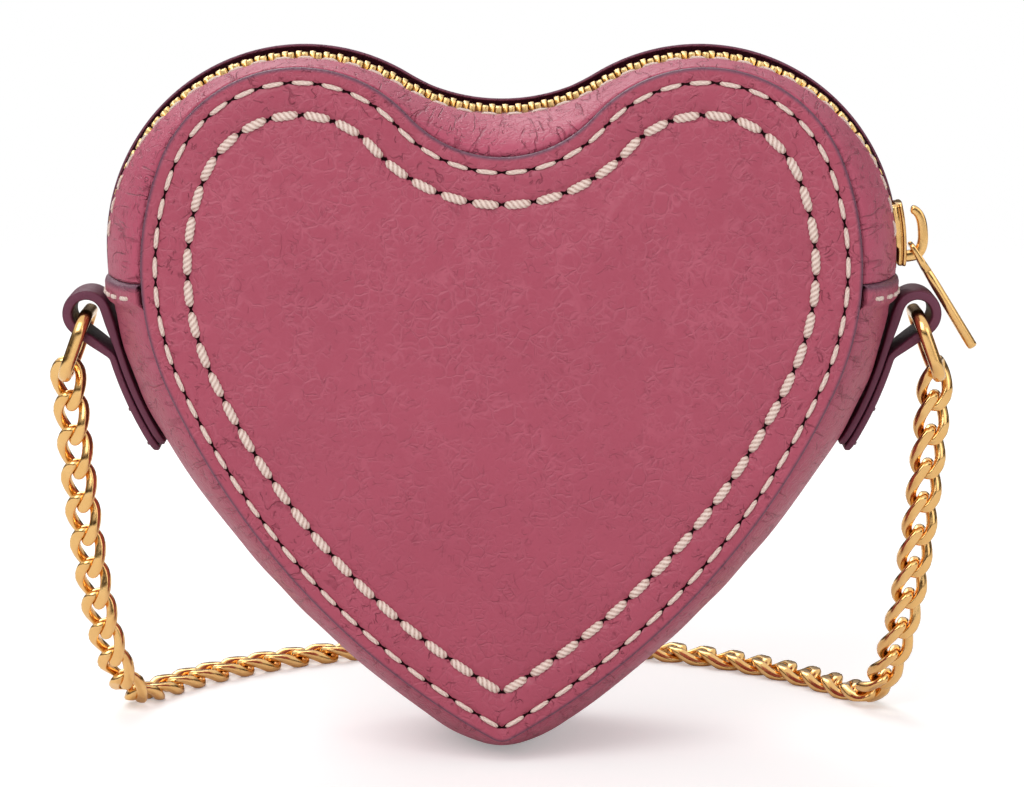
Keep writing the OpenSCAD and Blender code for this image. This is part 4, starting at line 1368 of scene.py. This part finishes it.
@dataclass
class Slider:
    """The slider's plates round the lobe's arc, its bow and the hanging pull."""

    lobe_r: float = 34.7
    rise: float = 2.66
    length: float = 10.8
    half_w: float = 3.9
    outer_r: float = 36.9
    under_low_r: float = 31.0
    pull_lean: float = 31.55
    pull_l: float = 21.2
    slot_l: float = 5.4
    tail: float = 0.93
    flange_end: float = -0.42
    flange_h: float = 1.05
    arm_y: float = 1.92
    pin_x: float = 1.1
    pin_z: float = -2.5

    def build(self, metal: Metal) -> None:
        """Adds the plates and the bow on the slider, and the pull on its own body.

        Args:
            metal: Their finish.
        """
        for name, shape, node, body in (
            ("slider_top_cast", self.top_plate(), "slider_top_plate", "slider"),
            ("slider_bottom_cast", self.bottom_plate(), "slider_bottom_plate", "slider"),
            ("slider_bow_cast", self.bow(), "slider_bridge", "slider"),
            ("pull_bar_cast", self.pull(), "pull_tab", "pull"),
        ):
            add_piece(name, shape, metal, node, body)

    @property
    def angle(self) -> float:
        """Angle of the slider's middle round the lobe's centre."""
        return math.asin(self.rise / self.lobe_r)

    def swept(self, share: Array, y: Array, radius: Array) -> Shape:
        """Sweeps half sections and their mirror images round the lobe's centre.

        Args:
            share: Shares along the slider, from -1 to 1.
            y: Each section's places across the depth.
            radius: Their radii.

        Returns:
            The plate.
        """
        turn = (self.angle + share * self.length / 2 / self.lobe_r)[:, None]
        y = np.concatenate([y, -y[:, -2:0:-1]], 1)
        radius = np.concatenate([radius, radius[:, -2:0:-1]], 1)
        return tube(vec(LOBE[0] + radius * np.cos(turn), y, LOBE[1] + radius * np.sin(turn)))

    def spread(self, narrow: float) -> tuple[Array, Array]:
        """Returns shares along the slider, bunched at both ends, and how wide each is in plan."""
        share = np.concatenate([[-1, -0.985, -0.95], np.linspace(-0.9, 0.9, 21), [0.95, 0.985, 1]])
        return share, (1 - narrow * np.clip((np.abs(share) - 0.93) / 0.07, 0, 1) ** 2)[:, None]

    def top_plate(self) -> Shape:
        """Builds the top plate: grooved flanges down both sides, which end above the throat.

        The plan is widest at the shoulders of its upper end and narrows a little to the tail.

        Returns:
            The plate.
        """
        share, end = self.spread(0.16)
        side_y = np.array([0, 0.3, 0.62, 0.8, 0.93, 1, 1, 0.9, 0.9, 1, 1, 0.86, 0.85, 0.84, 0.4, 0])
        side_r = np.array([
            0.12, 0.12, 0.06, 0, -0.12, -0.32, -0.62, -0.75, -0.95, -1.08, -2.5, -2.6, -1.7, -1.6, -1.6, -1.6,
        ])
        flange = np.clip((share - self.flange_end) / 0.05, 0, 1)[:, None]
        wide = self.half_w * (self.tail + (1 - self.tail) * np.clip(share * 2, 0, 1))[:, None] * end
        low = np.maximum(side_r, side_r[-1] - self.flange_h * flange)
        return self.swept(share, side_y * wide, self.outer_r + low * end)

    def bottom_plate(self) -> Shape:
        """Builds the plain bottom plate with short rims.

        Returns:
            The plate.
        """
        share, end = self.spread(0.12)
        side_y = np.array([0.0, 0.6, 0.85, 1.0, 1.0, 0.86, 0.85, 0.0])
        side_r = np.array([0.0, 0.0, 0.1, 0.35, 1.6, 1.6, 1.2, 1.2])
        return self.swept(share, side_y * self.half_w * end, self.under_low_r + side_r + 0 * end)

    def in_world(self, points: Array) -> Array:
        """Turns points from the top plate's frame into the bag's.

        Args:
            points: Points with X outwards from the plate and Z up along the slider.

        Returns:
            The points in place.
        """
        c, s = math.cos(self.angle), math.sin(self.angle)
        x, z = points[..., 0] + self.outer_r, points[..., 2]
        return vec(LOBE[0] + x * c - z * s, points[..., 1], LOBE[1] + x * s + z * c)

    def bow(self) -> Shape:
        """Builds the bow: a flat bar on a rounded half loop, thicker towards its foot.

        Its upper end is open, where the pull's loop goes on.

        Returns:
            The bow.
        """
        angle = np.linspace(-math.pi / 2, math.pi * 0.42, 40)
        x = 3.2 * eased(np.cos(angle), 0.62)
        z = 4.25 * eased(np.sin(angle), 0.8)
        x[:3] = [-0.7, -0.3, 0.3]
        z[:3] = [-4.2, -4.25, -4.25]
        path = vec(x, 0.0, z)
        thick = np.linspace(1.02, 0.78, len(angle))[:, None]
        thick[-2:, 0] *= [0.92, 0.6]
        out = unit(np.cross(np.gradient(path, axis=0), ACROSS))
        section = superellipse(1.0, 1.0, 4.5, 20)
        return tube(self.in_world(sweep(path, section, ACROSS * np.minimum(1, thick / 0.5), out * thick)))

    def pull(self) -> Shape:
        """Builds the pull: a bevelled bar, two arms beside the bow, and the pin under it.

        Returns:
            The pull, hanging as gravity leaves it.
        """
        top, low = 0.6 - self.slot_l, -self.pull_l
        z = np.array([top, top - 0.12, top - 0.5, top - 3, low + 0.65, low + 0.3, low])
        shape = self.bar(z, [0.5, 0.66, 0.72, 0.8, 0.88, 0.84, 0.62], [2.2, 2.4, 2.5, 2.5, 2.5, 2.42, 2.15])
        round_pin = superellipse(0.52, 0.52, 2.0, 16)
        pin_y = np.array([-2.2, -2.1, 2.1, 2.2])[:, None]
        shape = shape.joined(tube(vec(round_pin[:, 0], pin_y, round_pin[:, 1])))
        arm_z = np.array([0.55, 0.4, 0.0, -1.0, -3.0, -5.2])
        arm = self.bar(arm_z, [0.22, 0.36, 0.42, 0.46, 0.6, 0.72], [0.3, 0.45, 0.55, 0.58, 0.58, 0.58])
        for side in (-1, 1):
            shape = shape.joined(Shape(arm.points + side * self.arm_y * ACROSS, arm.faces))
        hang = math.radians(self.pull_lean) - self.angle
        c, s = math.cos(hang), math.sin(hang)
        x, y, z = shape.points.T
        turned = vec(self.pin_x + x * c - z * s, y, self.pin_z + x * s + z * c)
        return Shape(self.in_world(turned), shape.faces)

    def bar(self, z: Array, half_t: list[float], half_w: list[float]) -> Shape:
        """Builds a bar along Z whose eight sided section has bevelled edges.

        Args:
            z: Heights of its sections.
            half_t: Half its thickness at each.
            half_w: Half its width at each.

        Returns:
            The bar.
        """
        corner = np.array([[1, 0.86], [0.6, 1], [-0.6, 1], [-1, 0.86]])
        x, y = np.vstack([corner, -corner]).T
        half_t, half_w = (np.array(half)[:, None] for half in (half_t, half_w))
        return tube(vec(x * half_t, y * half_w, z[:, None]))


# Tabs and rings


@dataclass
class TabLoops:
    """A folded leather strap on each side, whose loop holds the end ring."""

    width: float = 11.0
    leather_t: float = 1.4
    gap: float = 0.15
    loop_gap: float = 0.6
    loop_r: float = 4.4
    loop_t: float = 1.9
    end_drop: float = 36.44
    neck_l: float = 8.0
    tip_l: float = 3.2
    edge_l: float = 0.7
    row_ways: tuple[float, float] = (2.0, 9.0)
    stitch_gap: float = 3.19
    stitch: Stitch = Stitch(2.3, 0.8, 0.6, 2.0)

    def build(self, leather: Leather, thread: Thread) -> None:
        """Adds both loops and the stitches through their ends.

        Args:
            leather: The loops' finish.
            thread: The stitches' finish.
        """
        shape, threads = self.shape(), self.threads()
        for side, flip in HANDS:
            node = f"{side}_tab_loop"
            turned = Shape(shape.points * [flip, 1, 1], shape.faces, shape.values)
            add_piece(node + "_strap", turned, leather, node)
        both = threads.joined(Shape(threads.points * FLIP, [f[::-1] for f in threads.faces], threads.values))
        add_piece("tab_threads_twisted", both, thread, "tab_threads")

    @property
    def end_angle(self) -> float:
        """Angle of the strap's lower end round the shoulder's centre."""
        return -math.asin(self.end_drop / (SHOULDER_R + self.gap + 2 * self.leather_t))

    def path(self) -> Array:
        """Draws the strap's middle line: up the outer leg, round the loop and down the inner leg.

        Both legs are arcs round the shoulder, and the loop is an arc that their ends touch.

        Returns:
            Its points, as X and Z.
        """
        reach = SHOULDER_R + self.loop_gap + self.loop_r
        loop_angle = -math.asin(LOOP_DROP / reach)
        neck = loop_angle - self.neck_l / SHOULDER_R
        outer_r, inner_r = (SHOULDER_R + self.gap + share * self.leather_t for share in (1.5, 0.5))
        outer = SHOULDER + outer_r * circle(np.linspace(self.end_angle, neck, 40))
        inner = SHOULDER + inner_r * circle(np.linspace(neck - 0.01, self.end_angle + 0.006, 40))
        middle = SHOULDER + reach * circle(loop_angle)
        bend = self.loop_r - self.loop_t / 2
        leave = self.tangent(outer[-1] - middle, bend, 1)
        enter = self.tangent(inner[0] - middle, bend, -1)
        if enter < leave:
            enter += 2 * math.pi
        return np.vstack([outer, middle + bend * circle(np.linspace(leave, enter, 48)), inner])

    def tangent(self, away: Array, bend: float, side: int) -> float:
        """Returns the angle on a circle where a line from a point away from its middle touches it."""
        return math.atan2(away[1], away[0]) + side * math.acos(bend / float(np.hypot(*away)))

    def shape(self) -> Shape:
        """Builds the strap: a rounded flat section swept along its softened middle line.

        Its tip is a half round, and the leather is thicker round the loop.

        Returns:
            The strap, with its painted edges and its inner skin round the loop, painted dark as shade.
        """
        line, even = evenly(self.path(), 170)
        kernel = np.array([1, 2, 3, 2, 1]) / 9
        line[2:-2] = np.stack([np.convolve(column, kernel, "valid") for column in line.T], -1)
        path = vec(line[:, 0], 0.0, line[:, 1])
        out = np.cross(unit(np.gradient(path, axis=0)), ACROSS)
        from_end = np.minimum(even, even[-1] - even)
        looped = np.clip((from_end - even[-1] / 2 + 15) / 6, 0, 1)
        thick = self.leather_t / 2 * quarter_edge(from_end / self.edge_l, 0.05)
        thick += (self.loop_t - self.leather_t) / 2 * smooth(looped)
        half_w = self.width / 2 * (0.55 + 0.45 * quarter_edge(from_end / self.tip_l, 0.03))
        section = superellipse(1.0, 1.0, 7.0, 44)
        rings = sweep(path, section, ACROSS * half_w[:, None], out * thick[:, None])
        top = len(path) // 2
        inward = np.sign(((path[8] - path[top]) * out[top]).sum())
        paint = np.clip((np.abs(section[:, 0]) - 0.985) / 0.012, 0, 1)
        # The inner skin round the loop is painted near black, as the shade inside the loop.
        shaded_flesh = np.clip((section[:, 1] * inward - 0.9) / 0.08, 0, 1) * looped[:, None]
        return tube(rings, {"cut": vec(paint, shaded_flesh, 0.0)})

    def threads(self) -> Shape:
        """Lays two rows of three stitches across the right tab's outer leg.

        Returns:
            The stitches.
        """
        top = SHOULDER_R + self.gap + 2 * self.leather_t + 0.1
        angle = self.end_angle + np.repeat(self.row_ways, 3) / top
        x, z = (SHOULDER + top * circle(angle)).T
        y = np.tile([-1.0, 0.0, 1.0], 2) * self.stitch_gap
        out = vec(np.cos(angle), 0.0, np.sin(angle))
        return repeated(self.stitch.shape(), frames_of(ACROSS, out), vec(x, y, z))


@dataclass
class EndRings:
    """The two oval rings that hang in the tab loops."""

    width: float = 14.2
    height: float = 11.6
    corner: float = 3.4
    lean: float = math.radians(20.0)
    drop: float = 0.4
    wire_in: float = 1.1
    wire_out: float = 1.2
    loop_out: float = 5.0

    def build(self, metal: Metal) -> None:
        """Adds both rings.

        Args:
            metal: Their finish.
        """
        shape = self.shape()
        for side, flip in HANDS:
            node = f"{side}_end_ring"
            turned = Shape(shape.points * [flip, 1, 1], shape.faces)
            add_piece(node + "_forged", turned, metal, node, "end_rings")

    @property
    def down(self) -> Array:
        """The direction down the right ring, as X and Z."""
        return np.array([math.sin(self.lean), -math.cos(self.lean)])

    def top(self) -> Array:
        """Returns the middle of the right ring's upper bar, as X and Z."""
        reach = SHOULDER_R + self.loop_out
        return SHOULDER + reach * circle(-math.asin(LOOP_DROP / reach)) + self.drop * self.down

    def bottom(self) -> Array:
        """Returns the middle of the lower bar."""
        return self.top() + self.height * self.down

    def shape(self) -> Shape:
        """Builds a round cornered loop of wire whose inner face is worn a little flat.

        Returns:
            The right ring.
        """
        r = self.corner
        corners = []
        for k, (sx, sz) in enumerate(((1, 1), (-1, 1), (-1, -1), (1, -1))):
            turn = np.radians(90 * k) + np.linspace(0, np.pi / 2, 15)
            corners.append([sx * (self.width / 2 - r), sz * (self.height / 2 - r)] + r * circle(turn))
        flat = evenly(np.vstack(corners), 120, closed=True)[0]
        along = unit(np.roll(flat, -1, 0) - np.roll(flat, 1, 0))
        up = np.array([-self.down[0], 0.0, -self.down[1]])
        side = np.array([math.cos(self.lean), 0.0, math.sin(self.lean)])
        section = superellipse(self.wire_in, self.wire_out, 2.3, 24)
        section[:, 0] *= np.where(section[:, 0] < 0, 0.9, 1.0)
        top = self.top()
        middle = np.array([top[0], 0.0, top[1]]) - up * self.height / 2
        path = middle + flat[:, :1] * ACROSS + flat[:, 1:] * up
        outward = along[:, 1:] * ACROSS - along[:, :1] * up
        return tube(sweep(path, section, outward, side), closed=True)


# Chain


@dataclass
class ChainStrap:
    """A curb chain from ring to ring: down to the floor on each side and round behind the bag."""

    pitch: float = 6.4
    ring_wire: float = 2.2
    play: float = 0.3
    land_x: float = 67.0
    land_y: float = 26.0
    back_y: float = 68.0
    wire: float = 2.0
    half_long: float = 4.23
    half_wide: float = 2.4
    twist: float = math.radians(50.0)
    flat: float = 1.5
    ground: float = 0.12
    clear: float = 0.05
    lying: float = 0.2

    def build(self, metal: Metal, rings: EndRings) -> None:
        """Adds the links of each CAD node, all with the same twist, on their bodies.

        Args:
            metal: The chain's finish.
            rings: The rings that it hangs from.
        """
        joints = self.joints(rings)
        steps = np.diff(joints, axis=0)
        middles = (joints[1:] + joints[:-1]) / 2
        frames = frames_of(steps, np.cross(steps, vec(steps[:, 1], -steps[:, 0], 0.0)))
        link = self.link()
        last = len(steps) - 1
        drop = int(np.argmax(joints[:, 2] < self.flat + self.lying)) - 1
        groups = (
            ("chain_links_first", "first_links", [0, last]),
            ("chain_links_second", "second_links", [1, last - 1]),
            ("chain_links_third", "third_links", [2, last - 2]),
            ("strap_right_drop", "strap", list(range(3, drop))),
            ("strap_floor_run", "strap", list(range(drop, last - drop + 1))),
            ("strap_left_drop", "strap", list(range(last - drop + 1, last - 2))),
        )
        for node, body, places in groups:
            shape = repeated(link, frames[places], middles[places])
            add_piece(node + "_curb", shape, metal, node, body)

    def joints(self, rings: EndRings) -> Array:
        """Works out the places where links meet, from the right ring to the left.

        The drop is a catenary from the ring's bar to where the chain lands, its sag found by
        halving, and the rest is an arc on the floor behind the bag.

        Args:
            rings: The rings that it hangs from.

        Returns:
            The places.
        """
        floor = self.flat + self.clear
        bottom = rings.bottom()
        start_z = bottom[1] + self.ring_wire / 2 + self.play / 2
        run = math.hypot(bottom[0] - self.land_x, self.land_y)
        low, high = run / 8, run * 4
        for _ in range(50):
            sag = (low + high) / 2
            too_deep = sag * (math.cosh(run / sag) - 1) > start_z - floor
            low, high = (sag, high) if too_deep else (low, sag)
        drop_l = sag * math.sinh(run / sag)
        centre_y = (self.land_x**2 + self.land_y**2 - self.back_y**2) / (2 * (self.land_y - self.back_y))
        radius = self.back_y - centre_y
        land = math.atan2(self.land_x, self.land_y - centre_y)
        total = drop_l + radius * land
        half = round(total / self.pitch - 0.5)
        way = np.arange(half + 1) * total / (half + 0.5)
        left = np.maximum(drop_l - way, 0)
        share = 1 - sag / run * np.arcsinh(left / sag)
        hanging_x = bottom[0] + (self.land_x - bottom[0]) * share
        hanging = vec(hanging_x, self.land_y * share, floor + np.hypot(sag, left) - sag)
        angle = land - (way - drop_l) / radius
        lying = vec(radius * np.sin(angle), centre_y + radius * np.cos(angle), floor)
        right = np.where((way < drop_l)[:, None], hanging, lying)
        return np.vstack([right, right[::-1] * FLIP])

    def link(self) -> Shape:
        """Builds one link along X, its width along Y: an oval loop twisted along its length.

        The middle line is a superellipse turned about X in proportion to X. Both faces are
        ground flat, so that the chain lies flat and shows the broad bright faces of a curb.

        Returns:
            The link.
        """
        angle = np.linspace(0, 2 * np.pi, 44, endpoint=False)
        x, w = (eased(circle(angle), 0.8) * [self.half_long, self.half_wide]).T
        turn = self.twist * x / self.half_long
        line = vec(x, w * np.cos(turn), w * np.sin(turn))
        along = unit(np.roll(line, -1, 0) - np.roll(line, 1, 0))
        out = line * [0.35, 1.0, 1.0]
        out = unit(out - (out * along).sum(-1, keepdims=True) * along)
        section = superellipse(self.wire / 2, self.wire / 2, 2.2, 14)
        rings = sweep(line, section, out, np.cross(along, out))
        height = np.abs(rings[..., 2])
        over = height - (self.flat - self.ground)
        ground = self.flat - self.ground * np.exp(-np.maximum(over, 0) / self.ground)
        rings[..., 2] = np.sign(rings[..., 2]) * np.where(over > 0, ground, height)
        return tube(rings, closed=True)


# Setting


@dataclass
class Studio:
    """The camera, the pale floor and the soft light of a product photograph."""

    aim: tuple[float, float, float] = (1.8, 0.0, 62.88)
    distance: float = 700.0
    elevation: float = math.radians(9.0)
    lens: float = 136.7
    floor_half: float = 1.2

    def build(self) -> None:
        """Adds the camera, floor, lights and world, and shows colours as they are written."""
        self.add_camera()
        self.add_floor()
        self.add_light("key_light", (-420, -900, 900), 900, 9)
        self.add_light("fill_light", (760, -800, 420), 700, 2)
        self.add_light("rim_light", (-300, 700, 800), 700, 5)
        self.add_world()
        bpy.context.scene.view_settings.view_transform = "Standard"

    def add_camera(self) -> None:
        """Puts the camera at the photograph's angle."""
        camera = bpy.data.cameras.new("camera")
        camera.lens = self.lens
        camera.sensor_width = 36
        view = add_object("camera", camera)
        back = Vector((0, -math.cos(self.elevation), math.sin(self.elevation)))
        view.location = Vector(self.aim) * MM + back * self.distance * MM
        view.rotation_euler = (math.pi / 2 - self.elevation, 0, 0)
        bpy.context.scene.camera = view

    def add_floor(self) -> None:
        """Adds a floor that keeps the soft shadow and fades into the white behind it."""
        mesh = bpy.data.meshes.new("studio_floor")
        far = self.floor_half
        mesh.from_pydata([(-far, -far, 0), (far, -far, 0), (far, far, 0), (-far, far, 0)], [], [(0, 1, 2, 3)])
        mesh.materials.append(material(FloorPaper()))
        add_object("studio_floor", mesh)

    def add_light(self, name: str, place: tuple[float, float, float], size: float, power: float) -> None:
        """Adds one soft square light that faces the bag.

        Args:
            name: Its name.
            place: Where it stands, in mm.
            size: The length of its side, in mm.
            power: Its power in watts.
        """
        lamp = bpy.data.lights.new(name, "AREA")
        lamp.size = size * MM
        lamp.energy = power
        light = add_object(name, lamp)
        light.location = Vector(place) * MM
        facing = Vector(self.aim) * MM - light.location
        light.rotation_euler = facing.to_track_quat("-Z", "Y").to_euler()

    def add_world(self) -> None:
        """Adds white behind the bag, and for reflections a sky with a dark band.

        The band gives the metal its contrast.
        """
        world = bpy.data.worlds.new("studio_world")
        bpy.context.scene.world = world
        world.use_nodes = True
        g = Graph(world.node_tree)
        height = g.add("SeparateXYZ", {0: g.add("TexCoord", output="Generated")}, "Z")
        band = g.math("MAXIMUM", g.ramp(height, -0.12, 0.05, 1.0, 0.0), g.ramp(height, 0.12, 0.45, 0.0, 1.0))
        glossy = g.add("LightPath", output="Is Glossy Ray")
        seen = g.mix(glossy, "#ffffff", g.mix(band, "#3c332c", "#ffffff"))
        strong = g.math("MULTIPLY_ADD", glossy, 0.45, 0.5)
        dim = g.add("Background", {"Color": seen, "Strength": strong})
        white = g.add("Background", {"Color": linear("#ffffff"), "Strength": 1.0})
        camera = g.add("LightPath", output="Is Camera Ray")
        g.add("OutputWorld", {"Surface": g.add("MixShader", {0: camera, 1: dim, 2: white})})


# The bag


BERRY = Leather("tumbled_berry_cowhide", "#a6495d", "#742639", "#b95f72")
BERRY_SIDE = Leather(
    "gusset_berry_cowhide", "#a94e63", "#76273d", "#b96378", wrinkle=0.7, roughness=0.42, coat=0.05
)
BERRY_STRIP = Leather(
    "zip_strip_berry_cowhide", "#b5526a", "#78263c", "#c2677b",
    cell=2.2, crease=0.5, wrinkle=1.0, roughness=0.47, shine=0.22,
)
BURGUNDY = Leather(
    "burgundy_strap_leather", "#5b2a3d", "#3b1725", "#6a3549", "#6a3a4c", "#26101a",
    cell=1.8, grain_depth=0.03, roughness=0.5, shine=0.2,
)
GOLD = Metal("gold_plated_zinc", "#f5cb8b", "#e9b369")
ZIP_GOLD = Metal("gold_plated_zip_brass", "#f5d79b", "#e9c078", 0.34)
CREAM_THREAD = Thread("waxed_cream_thread", "#ecd8cd", "#9c6b5c")
TAB_THREAD = Thread("waxed_burgundy_thread", "#6b3348", "#3a1724")
ZIP_TAPE = Woven("burgundy_zip_tape", "#a23c55", "#6d2338", 0.5)
LINING = Woven("cotton_lining", "#6d3a4a", "#452430", 0.4)
BOARD = Woven("pressed_fibre_board", "#b9b2a8", "#9a9287", 0.8)


def dress_hidden_nodes(frame: dict) -> None:
    """Gives the lining and the boards, which stay as they are, their cloth and fibre.

    Args:
        frame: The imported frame.
    """
    for name, node in frame["nodes"].items():
        if name.startswith("lining") or name.endswith("board"):
            node.data.materials.clear()
            node.data.materials.append(material(LINING if name.startswith("lining") else BOARD))


def main() -> None:
    """Builds the studio and the bag, piece by piece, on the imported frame."""
    logging.basicConfig(level=logging.INFO, format="%(name)s %(message)s")
    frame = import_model()
    Studio().build()
    rings = EndRings()
    ChainStrap().build(GOLD, rings)
    rings.build(GOLD)
    for side in Side:
        Panel(side).build(BERRY)
    gusset = BottomGusset()
    gusset.build(BERRY_SIDE)
    strips = [ZipStrip(Side.FRONT, 0.0, side_rise=1.0), ZipStrip(Side.BACK, 2.2)]
    for strip in strips:
        strip.build(BERRY_STRIP)
    PanelStitches().build(CREAM_THREAD)
    SideStitches().build(CREAM_THREAD, strips, gusset)
    Zip().build(ZIP_GOLD, ZIP_TAPE)
    Slider().build(GOLD)
    TabLoops().build(BURGUNDY, TAB_THREAD)
    dress_hidden_nodes(frame)


if __name__ == "__main__":
    main()
